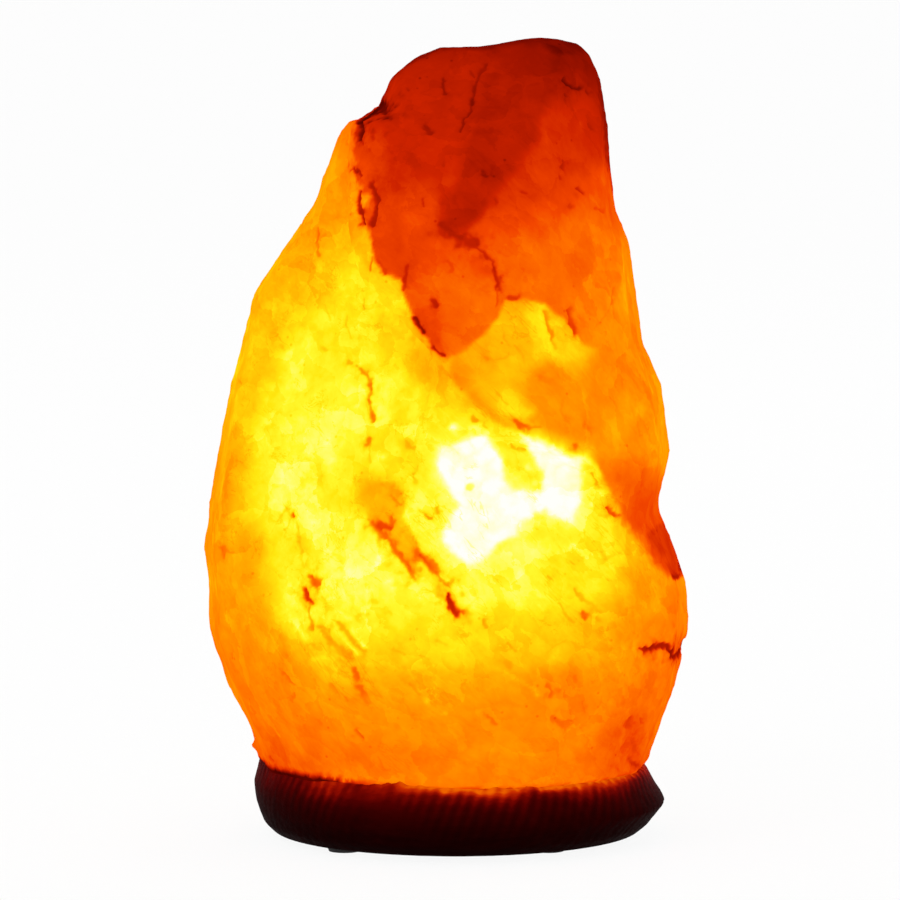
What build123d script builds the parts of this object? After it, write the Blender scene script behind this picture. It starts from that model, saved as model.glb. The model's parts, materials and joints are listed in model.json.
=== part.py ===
# Salt crystal lamp: a hollowed block of rock salt stands on a turned wooden plinth. A small
# screw-base bulb stands in the bore of the block, in a lamp holder that three leaf springs grip in
# the bore, so that holder and bulb pull out together from below. The lead would enter the holder
# from below and leave through a groove under the plinth.
#
# Frame: +Z up, the front is -Y, and z = 0 is the plane that the feet stand on. The origin is under
# the middle of the block's outline, on the common axis of the bores, the holder and the bulb.

from build123d import *
from math import cos, pi, sin
import os

# --- Driving dimensions, in millimetres -----------------------------------------------------------

# Gaps between pieces
seat_gap = 0.1  # round piece in its own hole
free_gap = 0.35  # between pieces that move past each other

# Feet
foot_height = 2.0
foot_diameter = 11.0
foot_taper = 0.8  # the foot is this much smaller in radius at its sole
foot_count = 4
foot_circle_radius = 43.0
foot_start_angle = 45.0

# Plinth. Its outline is given from below: height as a share of its thickness, then its reach to the
# left and to the right of the axis, because its middle stands a little to the right
plinth_thickness = 20.0
plinth_bore_radius = 25.0
plinth_outline = [
    (0.00, 52.0, 58.0),
    (0.14, 55.2, 61.6),
    (0.43, 57.4, 65.1),
    (0.74, 58.3, 62.6),
    (0.91, 57.4, 61.0),
    (1.00, 55.6, 59.8),
]
groove_width = 8.0  # for the lead, from the bore to the back
groove_depth = 9.0

# Wood screws that hold the plinth to the block
screw_count = 3
screw_circle_radius = 38.0
screw_start_angle = 30.0
screw_length = 33.0
screw_radius = 2.0
screw_head_radius = 4.2
screw_head_height = 2.4
screw_sink = 0.6  # of the head below the face of the plinth
screw_tip = 4.0
screw_slot = 0.9

# Salt block
block_height = 219.5
block_half_width = 73.5
block_half_depth = 66.0
block_bore_radius = 23.0
block_bore_depth = 118.0
bore_end_round = 9.0

# Outline of the rough block from its foot up: height, left, right, front and back reach, each a
# share of the block's height, half width and half depth. A negative reach is beyond the axis.
block_outline = [
    (0.000, 0.77, 0.83, 0.84, 0.85),
    (0.050, 0.81, 0.88, 0.88, 0.89),
    (0.115, 0.91, 0.95, 0.95, 0.94),
    (0.190, 0.98, 1.00, 1.00, 0.98),
    (0.250, 0.98, 0.99, 1.01, 1.00),
    (0.300, 1.00, 0.94, 1.00, 0.99),
    (0.355, 0.98, 0.87, 0.98, 0.98),
    (0.430, 0.94, 0.92, 0.95, 0.96),
    (0.520, 0.89, 0.89, 0.89, 0.91),
    (0.580, 0.84, 0.81, 0.86, 0.87),
    (0.650, 0.79, 0.78, 0.82, 0.82),
    (0.720, 0.65, 0.75, 0.77, 0.76),
    (0.770, 0.55, 0.69, 0.73, 0.71),
    (0.890, 0.42, 0.66, 0.62, 0.60),
    (0.905, 0.29, 0.65, 0.60, 0.58),
    (0.945, 0.23, 0.63, 0.51, 0.48),
    (0.975, 0.12, 0.59, 0.41, 0.38),
    (0.990, 0.03, 0.55, 0.33, 0.29),
    (1.000, -0.13, 0.47, 0.24, 0.19),
]
outline_exponent = 2.35  # 2 makes each level an ellipse, more makes it squarer
outline_points = 16  # around each level
ripple_ratio = 0.025  # of the local reach, in lumps round the block

# Flat cleavage faces of the block: a place on each face, in shares of the block's half width, half
# depth and height, and the face's outward direction
cleavage_faces = [
    ((0.51, -0.45, 0.84), (0.70, -0.62, 0.20)),  # right of the cap
    ((0.20, -0.42, 0.93), (-0.14, -0.66, 0.70)),  # cap, sloping to the front
    ((0.25, 0.36, 0.92), (-0.10, 0.72, 0.62)),  # cap, sloping to the back
    ((-0.57, 0.57, 0.60), (-0.64, 0.70, 0.26)),  # left of the back
    ((0.56, 0.60, 0.55), (0.62, 0.76, 0.16)),  # right of the back
    ((-0.10, 0.93, 0.34), (-0.14, 0.98, 0.12)),  # back
    ((-0.74, 0.70, 0.20), (-0.74, 0.66, -0.14)),  # left, low at the back
    ((0.74, 0.70, 0.16), (0.68, 0.70, -0.20)),  # right, low at the back
    ((-0.72, -0.70, 0.20), (-0.70, -0.70, -0.16)),  # left, low at the front
    ((0.78, -0.66, 0.22), (0.76, -0.62, -0.10)),  # right, low at the front
]

# Flakes broken off the block's front. Each leaves a flat bed, given by a place and its outward
# direction, inside an edge seen from the front: shares of the half width and the height.
flake_reach = 45.0
left_flake_bed = ((-0.03, -0.80, 0.570), (-0.50, -0.80, 0.30))
left_flake_edge = [(-0.42, 0.98), (-0.37, 0.87), (-0.33, 0.76), (-0.27, 0.68), (-0.13, 0.62),
                   (-0.02, 0.565), (-0.10, 0.48), (-0.15, 0.38), (-0.24, 0.27), (-0.42, 0.16)]
left_flake_corners = [(-1.5, 0.05), (-1.5, 1.1)]
ledge_flake_bed = ((0.10, -0.88, 0.42), (0.30, -0.94, 0.12))
ledge_flake_edge = [(-0.26, 0.535), (-0.05, 0.505), (0.20, 0.475), (0.42, 0.450), (0.62, 0.405),
                    (0.80, 0.365), (1.10, 0.33)]
ledge_flake_corners = [(1.5, 0.05), (-0.9, 0.05)]

# Lamp holder: height of its underside above the floor, and its two shells
holder_height = 20.0
holder_radius = 13.8
holder_wall = 1.8
cap_height = 20.0  # of the lower shell
cap_floor = 2.0
cap_bevel = 3.0
cap_ribs = 8
rib_width = 1.2
rib_rise = 0.5
rib_margin = 2.5  # from the rib's ends to the ends of the straight wall
spigot_height = 2.0  # of the lower shell inside the upper one, up to the insert
spigot_wall = 1.7
skirt_height = 32.0  # of the upper shell
shoulder_step = 1.4  # inside the upper shell, above the insert
lip_radius = 8.6  # opening in the top of the upper shell
lip_thickness = 3.0
flange_radius = 15.6
flange_thickness = 2.5
flange_rise = 10.0  # of the flange above the joint of the two shells

# Bush that the lead enters through, and its grip screw
bush_bore_radius = 3.5
bush_radius = 5.0
bush_flange_radius = 7.0
bush_flange_height = 5.0
bush_length = 9.0  # above the flange
grip_screw_radius = 1.25
grip_screw_length = 3.2

# Insert that carries the contacts
insert_thickness = 5.0
insert_rim_wall = 1.9
insert_rim_height = 9.0
post_width = 6.0
post_depth = 5.0
post_height = 8.0  # below the disc
post_offset = 6.0  # from the axis to its middle
terminal_screw_radius = 1.25
terminal_screw_length = 6.0
terminal_head_radius = 2.4
terminal_head_height = 1.6

# Contacts
shell_radius = 7.55
shell_wall = 0.4
shell_height = 20.0
strip_width = 3.6
strip_thickness = 0.5
strip_foot = 3.4  # length of each foot of the centre contact, from the axis
strip_rise = 2.0

# Clip: collar with ears, clamp ring and leaf springs
clip_count = 3
clip_start_angle = 90.0
collar_thickness = 0.8
ear_radius = 18.2  # inner face
ear_width = 9.0
ear_height = 6.0
ring_wall = 2.4
ring_height = 6.0
ring_flutes = 24
flute_width = 1.3
flute_depth = 0.6
leaf_width = 8.0
leaf_thickness = 0.5
leaf_drop = 1.8  # of the leaf below its rivet
leaf_straight = 2.2  # of the leaf above its rivet
leaf_bow_length = 21.0
leaf_play = 0.3  # between the leaf and its ear
rivet_rise = 3.5  # above the collar
rivet_radius = 1.0
rivet_head_radius = 1.9
rivet_head = 0.8

# Bulb
tip_radius = 2.2
tip_height = 1.3
insulator_height = 3.0
bulb_cap_radius = 6.95
bulb_cap_wall = 0.4
bulb_cap_height = 16.0
flare_radius = 8.0
flare_height = 4.0
neck_radius = 6.2
glass_wall = 0.6
glass_radius = 14.0
glass_length = 62.0  # from the tip to the top
neck_bottom = 12.0  # of the glass, above the tip
neck_length = 13.5
stem_radius = 2.4
stem_flare_radius = 5.0
stem_height = 26.0  # above the neck's bottom
stem_flare_height = 6.0
wire_radius = 0.3
wire_start = 1.2  # from the axis, at the stem
wire_spread = 6.5  # from the axis, at the filament
wire_rise = 12.0  # above the stem
wire_straight = 3.0  # at each end
wire_bend = 2.0
filament_radius = 0.25
support_radius = 0.2

# --- Places worked out from them ------------------------------------------------------------------

plinth_top = foot_height + plinth_thickness
screw_bottom = foot_height + screw_sink
screw_top = screw_bottom + screw_length
bore_top = plinth_top + block_bore_depth
shell_joint = holder_height + cap_height
skirt_top = shell_joint + skirt_height
skirt_inner_radius = holder_radius - holder_wall
spigot_radius = skirt_inner_radius - seat_gap
shoulder_radius = skirt_inner_radius - shoulder_step
insert_bottom = shell_joint + spigot_height
insert_top = insert_bottom + insert_thickness
post_bottom = insert_bottom - post_height
flange_bottom = shell_joint + flange_rise
collar_bottom = flange_bottom + flange_thickness
collar_top = collar_bottom + collar_thickness
collar_inner_radius = holder_radius + seat_gap
ear_outer = ear_radius + collar_thickness
rivet_height = collar_top + rivet_rise
leaf_outer = ear_radius - leaf_play
leaf_inner = leaf_outer - leaf_thickness
leaf_bow_radius = ((block_bore_radius - free_gap) ** 2 - (leaf_width / 2) ** 2) ** 0.5
leaf_bow_start = rivet_height + leaf_straight
strip_top = insert_top + strip_rise + strip_thickness
tip_bottom = strip_top + free_gap
insulator_bottom = tip_bottom + tip_height
bulb_cap_bottom = insulator_bottom + insulator_height
bulb_cap_top = bulb_cap_bottom + bulb_cap_height
flare_top = bulb_cap_top + flare_height
glass_top = tip_bottom + glass_length
glass_bottom = tip_bottom + neck_bottom
neck_top = glass_bottom + neck_length
stem_top = glass_bottom + stem_height
wire_top = stem_top + wire_rise
full_turn = 360.0
os.makedirs("parts", exist_ok=True)


def keep(build, name):
    """Label a finished piece and write it."""
    build.part.label = name
    export_step(build.part, f"parts/{name}.step")


def turned(*corners):
    """A solid of revolution, from the corners of its half section as radius and height."""
    with BuildSketch(Plane.XZ) as section:
        with BuildLine():
            Polyline(*corners, close=True)
        make_face()
    revolve(section.sketch, axis=Axis.Z)


# --- Feet and wood screws -------------------------------------------------------------------------

with BuildPart() as rubber_feet:
    with PolarLocations(foot_circle_radius, foot_count, foot_start_angle):
        Cone(
            foot_diameter / 2 - foot_taper,
            foot_diameter / 2,
            foot_height,
            align=(Align.CENTER, Align.CENTER, Align.MIN),
        )
keep(rubber_feet, "rubber_feet")


def screw_section(gap):
    """Half section of a wood screw, or of its hole when there is a gap round it."""
    return (
        (0, screw_bottom),
        (screw_head_radius + gap, screw_bottom),
        (screw_radius + gap, screw_bottom + screw_head_height),
        (screw_radius + gap, screw_top - screw_tip),
        (0, screw_top + gap),
    )


with BuildPart() as screw:
    turned(*screw_section(0))
    with Locations((0, 0, screw_bottom)):
        Box(2 * screw_head_radius, screw_slot, screw_slot, align=(Align.CENTER, Align.CENTER, Align.MIN),
            mode=Mode.SUBTRACT)
with BuildPart() as screw_hole:
    turned(*screw_section(seat_gap))
    with Locations((0, 0, foot_height)):
        Cylinder(screw_head_radius + seat_gap, screw_sink, align=(Align.CENTER, Align.CENTER, Align.MIN))
screw_places = (screw_circle_radius, screw_count, screw_start_angle)
with BuildPart() as base_screws:
    with PolarLocations(*screw_places):
        add(screw.part)
keep(base_screws, "base_screws")

# --- Plinth ---------------------------------------------------------------------------------------

with BuildPart() as wood_base:
    for share, left, right in plinth_outline:
        with BuildSketch(Plane.XY.offset(foot_height + share * plinth_thickness)):
            with Locations(((right - left) / 2, 0)):
                Circle((left + right) / 2)
    loft(ruled=True)
    with Locations((0, 0, foot_height)):
        Cylinder(plinth_bore_radius, plinth_thickness, align=(Align.CENTER, Align.CENTER, Align.MIN),
                 mode=Mode.SUBTRACT)
        Box(groove_width, 2 * block_half_depth, groove_depth, align=(Align.CENTER, Align.MIN, Align.MIN),
            mode=Mode.SUBTRACT)
    with PolarLocations(*screw_places):
        add(screw_hole.part, mode=Mode.SUBTRACT)
keep(wood_base, "wood_base")

# --- Salt block -----------------------------------------------------------------------------------


def reach_point(level, turn):
    """A point of the block's skin at one level of its outline, at an angle from the right side."""
    height, left, right, front, back = level
    across, along = cos(turn), sin(turn)
    side = right if across > 0 else left
    middle = (right - left) / 2, (back - front) / 2
    half = (right + left) / 2, (front + back) / 2
    power = 2 / outline_exponent
    x = middle[0] + half[0] * abs(across) ** power * (1 if across > 0 else -1)
    y = middle[1] + half[1] * abs(along) ** power * (1 if along > 0 else -1)
    lump = 1 + ripple_ratio * sin(3 * turn + 9 * height) * along**2
    return block_half_width * x * lump, block_half_depth * y * lump


def block_place(x, y, z):
    """A place in the rough block, from shares of its half width, half depth and height."""
    return Vector(x * block_half_width, y * block_half_depth, z * block_height)


def flake(bed, edge, corners):
    """The piece that broke off the block's front, standing on its flat bed."""
    place, outward = bed
    plane = Plane(origin=block_place(*place), x_dir=(-outward[1], outward[0], 0), z_dir=outward)

    def seen(x, z):
        """The point of the bed that shows at this share of the half width and the height."""
        spot = block_place(x, 0, z) - plane.origin
        depth = -(plane.z_dir.X * spot.X + plane.z_dir.Z * spot.Z) / plane.z_dir.Y
        local = plane.to_local_coords(plane.origin + Vector(spot.X, depth, spot.Z))
        return local.X, local.Y

    with BuildPart() as piece:
        with BuildSketch(plane):
            with BuildLine():
                curve = Spline([seen(x, z) for x, z in edge])
                Polyline(curve @ 1, *[seen(x, z) for x, z in corners], curve @ 0)
            make_face()
        extrude(amount=flake_reach)
    return piece.part


left_flake = flake(left_flake_bed, left_flake_edge, left_flake_corners)
ledge_flake = flake(ledge_flake_bed, ledge_flake_edge, ledge_flake_corners)

with BuildPart() as rough_block:
    for level in block_outline:
        with BuildSketch(Plane.XY.offset(level[0] * block_height)):
            with BuildLine():
                turns = [2 * pi * k / outline_points for k in range(outline_points)]
                Polyline([reach_point(level, turn) for turn in turns], close=True)
            make_face()
    loft(ruled=True)
    for place, outward in cleavage_faces:
        split(bisect_by=Plane(origin=block_place(*place), z_dir=outward), keep=Keep.BOTTOM)
    add(left_flake, mode=Mode.SUBTRACT)
    add(ledge_flake, mode=Mode.SUBTRACT)

middle = rough_block.part.bounding_box().center()
with BuildPart() as salt_crystal:
    with Locations((-middle.X, -middle.Y, plinth_top)):
        add(rough_block.part)
    with Locations((0, 0, plinth_top)):
        Cylinder(block_bore_radius, block_bore_depth, align=(Align.CENTER, Align.CENTER, Align.MIN),
                 mode=Mode.SUBTRACT)
    bore_rim = salt_crystal.edges().filter_by(GeomType.CIRCLE).filter_by_position(
        Axis.Z, bore_top - seat_gap, bore_top + seat_gap
    )
    fillet(bore_rim, bore_end_round)
    with PolarLocations(*screw_places):
        add(screw_hole.part, mode=Mode.SUBTRACT)
keep(salt_crystal, "salt_crystal")

# --- Lamp holder ----------------------------------------------------------------------------------

bush_top = holder_height + bush_length
with BuildPart() as cord_bush:
    turned(
        (bush_bore_radius, holder_height - bush_flange_height),
        (bush_flange_radius, holder_height - bush_flange_height),
        (bush_flange_radius, holder_height),
        (bush_radius, holder_height),
        (bush_radius, bush_top),
        (bush_bore_radius, bush_top),
    )
    grip_height = holder_height - bush_flange_height / 2
    grip_plane = Plane(origin=(0, -bush_flange_radius, grip_height), z_dir=(0, 1, 0))
    grip_hole_plane = Plane(origin=(0, -2 * bush_flange_radius, grip_height), z_dir=(0, 1, 0))
    with BuildSketch(grip_hole_plane):
        Circle(grip_screw_radius + seat_gap)
    extrude(amount=bush_flange_radius + grip_screw_length, mode=Mode.SUBTRACT)
keep(cord_bush, "cord_bush")

with BuildPart() as grip_screw:
    with BuildSketch(grip_plane):
        Circle(grip_screw_radius)
    extrude(amount=grip_screw_length)
    with BuildSketch(grip_plane):
        Rectangle(2 * grip_screw_radius, grip_screw_radius / 2)
    extrude(amount=grip_screw_radius / 2, mode=Mode.SUBTRACT)
keep(grip_screw, "grip_screw")

with BuildPart() as holder_cap:
    turned(
        (bush_radius + seat_gap, holder_height),
        (holder_radius, holder_height),
        (holder_radius, shell_joint),
        (spigot_radius, shell_joint),
        (spigot_radius, insert_bottom),
        (spigot_radius - spigot_wall, insert_bottom),
        (spigot_radius - spigot_wall, shell_joint - spigot_wall),
        (skirt_inner_radius, shell_joint - 2 * spigot_wall),
        (skirt_inner_radius, holder_height + cap_floor),
        (bush_radius + seat_gap, holder_height + cap_floor),
    )
    underside = holder_cap.edges().filter_by(GeomType.CIRCLE).group_by(Axis.Z)[0]
    chamfer(underside.sort_by(SortBy.RADIUS)[-1], cap_bevel)
    with Locations((0, 0, holder_height + cap_bevel + rib_margin)):
        with PolarLocations(holder_radius, cap_ribs):
            Box(2 * rib_rise, rib_width, cap_height - cap_bevel - 2 * rib_margin,
                align=(Align.CENTER, Align.CENTER, Align.MIN))
keep(holder_cap, "holder_cap")

with BuildPart() as holder_skirt:
    turned(
        (skirt_inner_radius, shell_joint),
        (holder_radius, shell_joint),
        (holder_radius, flange_bottom),
        (flange_radius, flange_bottom),
        (flange_radius, collar_bottom),
        (holder_radius, collar_bottom),
        (holder_radius, skirt_top),
        (lip_radius, skirt_top),
        (lip_radius, skirt_top - lip_thickness),
        (shoulder_radius, skirt_top - lip_thickness),
        (shoulder_radius, insert_top),
        (skirt_inner_radius, insert_top),
    )
    rim = holder_skirt.edges().filter_by(GeomType.CIRCLE).group_by(Axis.Z)[-1]
    chamfer(rim.sort_by(SortBy.RADIUS)[-1], holder_wall / 2)
keep(holder_skirt, "holder_skirt")

post_places = [(-post_offset, 0, post_bottom), (post_offset, 0, post_bottom)]
with BuildPart() as terminal_insert:
    rim_inner = shell_radius + seat_gap
    turned(
        (0, insert_bottom),
        (skirt_inner_radius - seat_gap, insert_bottom),
        (skirt_inner_radius - seat_gap, insert_top),
        (rim_inner + insert_rim_wall, insert_top),
        (rim_inner + insert_rim_wall, insert_top + insert_rim_height),
        (rim_inner, insert_top + insert_rim_height),
        (rim_inner, insert_top),
        (0, insert_top),
    )
    with Locations(*post_places):
        Box(post_width, post_depth, post_height, align=(Align.CENTER, Align.CENTER, Align.MIN))
        Cylinder(terminal_screw_radius + seat_gap, terminal_screw_length + seat_gap,
                 align=(Align.CENTER, Align.CENTER, Align.MIN), mode=Mode.SUBTRACT)
keep(terminal_insert, "terminal_insert")

with BuildPart() as terminal_screws:
    with Locations(*post_places):
        Cylinder(terminal_screw_radius, terminal_screw_length,
                 align=(Align.CENTER, Align.CENTER, Align.MIN))
        Cylinder(terminal_head_radius, terminal_head_height,
                 align=(Align.CENTER, Align.CENTER, Align.MAX))
keep(terminal_screws, "terminal_screws")

with BuildPart() as screw_shell:
    turned(
        (strip_foot + strip_width / 2, insert_top),
        (shell_radius, insert_top),
        (shell_radius, insert_top + shell_height),
        (shell_radius - shell_wall, insert_top + shell_height),
        (shell_radius - shell_wall, insert_top + shell_wall),
        (strip_foot + strip_width / 2, insert_top + shell_wall),
    )
keep(screw_shell, "screw_shell")

with BuildPart() as centre_contact:
    with BuildSketch(Plane.XZ):
        with BuildLine():
            Polyline(
                (strip_foot, insert_top),
                (strip_foot, insert_top + strip_thickness),
                (strip_foot / 2 + strip_thickness, strip_top),
                (0, strip_top),
                (0, strip_top - strip_thickness),
                (strip_foot / 2, strip_top - strip_thickness),
                (strip_foot - strip_thickness, insert_top),
                close=True,
            )
        make_face()
        mirror(about=Plane.YZ)
    extrude(amount=strip_width / 2, both=True)
keep(centre_contact, "centre_contact")

# --- Clip that grips the bore ---------------------------------------------------------------------

clip_angles = [clip_start_angle + k * full_turn / clip_count for k in range(clip_count)]
rivet_plane = Plane(origin=(0, 0, rivet_height), x_dir=(0, 1, 0), z_dir=(1, 0, 0))


def rivet_hole():
    """A hole for the rivet on +X, through what stands there."""
    with BuildSketch(rivet_plane.offset(holder_radius)) as hole:
        Circle(rivet_radius + seat_gap)
    extrude(hole.sketch, amount=ear_outer, mode=Mode.SUBTRACT)


with BuildPart() as ear:
    with Locations((ear_radius, 0, collar_bottom)):
        Box(collar_thickness, ear_width, ear_height + collar_thickness,
            align=(Align.MIN, Align.CENTER, Align.MIN))
    with Locations((ear_outer, 0, collar_bottom)):
        Box(ear_outer - holder_radius - ring_wall / 2, ear_width, collar_thickness,
            align=(Align.MAX, Align.CENTER, Align.MIN))
    rivet_hole()

with BuildPart() as clip_collar:
    turned(
        (collar_inner_radius, collar_bottom),
        (collar_inner_radius + ring_wall, collar_bottom),
        (collar_inner_radius + ring_wall, collar_top),
        (collar_inner_radius, collar_top),
    )
    with PolarLocations(0, clip_count, clip_start_angle):
        add(ear.part)
keep(clip_collar, "clip_collar")

with BuildPart() as clamp_ring:
    turned(
        (collar_inner_radius, collar_top),
        (collar_inner_radius + ring_wall, collar_top),
        (collar_inner_radius + ring_wall, collar_top + ring_height),
        (collar_inner_radius, collar_top + ring_height),
    )
    with Locations((0, 0, collar_top)):
        with PolarLocations(collar_inner_radius + ring_wall, ring_flutes):
            Box(2 * flute_depth, flute_width, ring_height,
                align=(Align.CENTER, Align.CENTER, Align.MIN), mode=Mode.SUBTRACT)
keep(clamp_ring, "clamp_ring")

head_inner = leaf_inner - leaf_play
with BuildPart() as rivet:
    for radius, start, end in (
        (rivet_head_radius, head_inner - rivet_head, head_inner),
        (rivet_radius, head_inner, ear_outer),
        (rivet_head_radius, ear_outer, ear_outer + rivet_head),
    ):
        with BuildSketch(rivet_plane.offset(start)):
            Circle(radius)
        extrude(amount=end - start)
with BuildPart() as clip_rivets:
    with PolarLocations(0, clip_count, clip_start_angle):
        add(rivet.part)
keep(clip_rivets, "clip_rivets")

with BuildPart() as leaf:
    bow_middle = leaf_bow_start + leaf_bow_length / 2
    bow_end = leaf_bow_start + leaf_bow_length
    with BuildSketch(Plane.XZ):
        with BuildLine():
            Line((leaf_outer, rivet_height - leaf_drop), (leaf_outer, leaf_bow_start))
            ThreePointArc(
                (leaf_outer, leaf_bow_start),
                (leaf_bow_radius, bow_middle),
                (leaf_outer, bow_end),
            )
            Line((leaf_outer, bow_end), (leaf_inner, bow_end))
            ThreePointArc(
                (leaf_inner, bow_end),
                (leaf_bow_radius - leaf_thickness, bow_middle),
                (leaf_inner, leaf_bow_start),
            )
            Line((leaf_inner, leaf_bow_start), (leaf_inner, rivet_height - leaf_drop))
            Line((leaf_inner, rivet_height - leaf_drop), (leaf_outer, rivet_height - leaf_drop))
        make_face()
    extrude(amount=leaf_width / 2, both=True)
    rivet_hole()

for number, angle in enumerate(clip_angles, start=1):
    with BuildPart() as clip_leaf:
        with Locations(Location((0, 0, 0), (0, 0, angle))):
            add(leaf.part)
    keep(clip_leaf, f"clip_leaf_{number}")

# --- Bulb -----------------------------------------------------------------------------------------


def glass_form(inset, mode=Mode.ADD):
    """The bulb's glass as a solid, or its inside when there is an inset."""
    centre = glass_top - glass_radius
    with BuildSketch(Plane.XZ) as section:
        with BuildLine():
            neck = Line((neck_radius - inset, glass_bottom), (neck_radius - inset, neck_top))
            globe = CenterArc((0, centre), glass_radius - inset, -90, 180, mode=Mode.PRIVATE)
            cone = PointArcTangentLine(neck @ 1, globe, side=Side.RIGHT)
            dome = ThreePointArc(cone @ 1, (glass_radius - inset, centre), (0, glass_top - inset))
            Polyline(dome @ 1, (0, glass_bottom), neck @ 0)
        make_face()
    revolve(section.sketch, axis=Axis.Z, mode=mode)


with BuildPart() as bulb_glass:
    glass_form(0)
    glass_form(glass_wall, Mode.SUBTRACT)
keep(bulb_glass, "bulb_glass")

with BuildPart() as cap_contact:
    with Locations((0, 0, tip_bottom)):
        Cylinder(tip_radius, tip_height, align=(Align.CENTER, Align.CENTER, Align.MIN))
    chamfer(cap_contact.edges().group_by(Axis.Z)[0], tip_height / 2)
keep(cap_contact, "cap_contact")

with BuildPart() as cap_insulator:
    turned(
        (0, insulator_bottom),
        (tip_radius + free_gap, insulator_bottom),
        (bulb_cap_radius - bulb_cap_wall, bulb_cap_bottom),
        (0, bulb_cap_bottom),
    )
keep(cap_insulator, "cap_insulator")

with BuildPart() as bulb_cap:
    turned(
        (bulb_cap_radius - 2 * bulb_cap_wall, bulb_cap_bottom),
        (bulb_cap_radius, bulb_cap_bottom),
        (bulb_cap_radius, bulb_cap_top),
        (flare_radius, flare_top),
        (flare_radius - bulb_cap_wall, flare_top),
        (bulb_cap_radius - bulb_cap_wall, bulb_cap_top),
        (bulb_cap_radius - bulb_cap_wall, bulb_cap_bottom + bulb_cap_wall),
        (bulb_cap_radius - 2 * bulb_cap_wall, bulb_cap_bottom + bulb_cap_wall),
    )
keep(bulb_cap, "bulb_cap")

with BuildPart() as bulb_stem:
    turned(
        (0, glass_bottom),
        (stem_flare_radius, glass_bottom),
        (stem_radius, glass_bottom + stem_flare_height),
        (stem_radius, stem_top),
        (0, stem_top),
    )
keep(bulb_stem, "bulb_stem")

with BuildPart() as lead_wires:
    for side in (-1, 1):
        with BuildLine(Plane.XZ) as route:
            FilletPolyline(
                (side * wire_start, stem_top),
                (side * wire_start, stem_top + wire_straight),
                (side * wire_spread, wire_top - wire_straight),
                (side * wire_spread, wire_top),
                radius=wire_bend,
            )
        with BuildSketch(Plane.XY.offset(stem_top)):
            with Locations((side * wire_start, 0)):
                Circle(wire_radius)
        sweep(path=route.wires()[0])
keep(lead_wires, "lead_wires")

with BuildPart() as filament:
    with BuildLine(Plane.XZ) as arch:
        CenterArc((0, wire_top), wire_spread, 0, 180)
    with BuildSketch(Plane.XY.offset(wire_top)):
        with Locations((wire_spread, 0)):
            Circle(filament_radius)
    sweep(path=arch.wires()[0])
keep(filament, "filament")

with BuildPart() as filament_support:
    with Locations((0, 0, stem_top)):
        Cylinder(support_radius, wire_rise + wire_spread - filament_radius - seat_gap,
                 align=(Align.CENTER, Align.CENTER, Align.MIN))
keep(filament_support, "filament_support")
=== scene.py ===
# Salt crystal lamp, dressed. All lengths are in metres unless a name ends in _mm or _px.
# The glow of the block is painted on its own vertices: first from the way that the light takes
# through the salt, then by marks that are placed where the photograph shows them.

import json
import math

import bmesh
import bpy
import numpy as np
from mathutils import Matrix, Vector, noise


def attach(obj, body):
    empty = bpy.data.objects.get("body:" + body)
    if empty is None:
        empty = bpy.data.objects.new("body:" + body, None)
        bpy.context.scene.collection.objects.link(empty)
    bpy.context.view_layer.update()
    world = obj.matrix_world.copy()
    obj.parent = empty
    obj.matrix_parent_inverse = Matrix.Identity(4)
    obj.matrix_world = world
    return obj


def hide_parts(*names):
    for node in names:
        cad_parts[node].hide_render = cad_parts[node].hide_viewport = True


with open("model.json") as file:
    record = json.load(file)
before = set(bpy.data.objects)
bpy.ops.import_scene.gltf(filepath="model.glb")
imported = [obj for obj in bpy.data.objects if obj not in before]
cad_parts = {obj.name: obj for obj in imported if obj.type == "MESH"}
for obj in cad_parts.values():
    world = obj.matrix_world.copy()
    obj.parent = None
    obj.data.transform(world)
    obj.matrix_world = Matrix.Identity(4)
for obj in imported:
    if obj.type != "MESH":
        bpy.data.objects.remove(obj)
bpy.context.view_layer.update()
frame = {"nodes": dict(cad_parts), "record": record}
MM = 0.001

# --- Camera ---

PICTURE_PX = 900
MM_PER_PX = 0.301  # at the lamp's axis
CAMERA_DISTANCE = 2.4
CAMERA_ELEVATION = math.radians(6.2)
CAMERA_TARGET = np.array((1.1, 0.0, 117.1)) * MM
SENSOR_MM = 36.0

view_forward = np.array((0, math.cos(CAMERA_ELEVATION), -math.sin(CAMERA_ELEVATION)))
view_up = np.array((0, math.sin(CAMERA_ELEVATION), math.cos(CAMERA_ELEVATION)))
view_right = np.array((1.0, 0, 0))
view_place = CAMERA_TARGET - view_forward * CAMERA_DISTANCE
focal_px = CAMERA_DISTANCE / (MM_PER_PX * MM)


def picture(points):
    """Where points of the model lie in the photograph, in its pixels."""
    ray = points - view_place
    depth = ray @ view_forward
    across = PICTURE_PX / 2 + focal_px * (ray @ view_right) / depth
    down = PICTURE_PX / 2 - focal_px * (ray @ view_up) / depth
    return np.stack((across, down), axis=1)


def add_camera():
    data = bpy.data.cameras.new("camera")
    data.sensor_width = SENSOR_MM
    data.lens = focal_px / PICTURE_PX * SENSOR_MM
    camera = object_from("camera", data)
    camera.location = view_place
    camera.rotation_euler = (math.pi / 2 - CAMERA_ELEVATION, 0, 0)
    bpy.context.scene.camera = camera


# --- Small tools ---


def object_from(name, data):
    thing = bpy.data.objects.new(name, data)
    bpy.context.scene.collection.objects.link(thing)
    return thing


def linear(code):
    """A colour written as in a paint program, such as ff8000, in the renderer's own values."""
    shares = [int(code[k : k + 2], 16) / 255 for k in (0, 2, 4)]
    linear_shares = (s / 12.92 if s <= 0.04045 else ((s + 0.055) / 1.055) ** 2.4 for s in shares)
    return (*linear_shares, 1.0)


def smooth(low, high, value):
    """0 up to low, 1 from high on, with soft ends between; low may be the higher number."""
    share = np.clip((value - low) / (high - low), 0, 1)
    return share * share * (3 - 2 * share)


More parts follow.
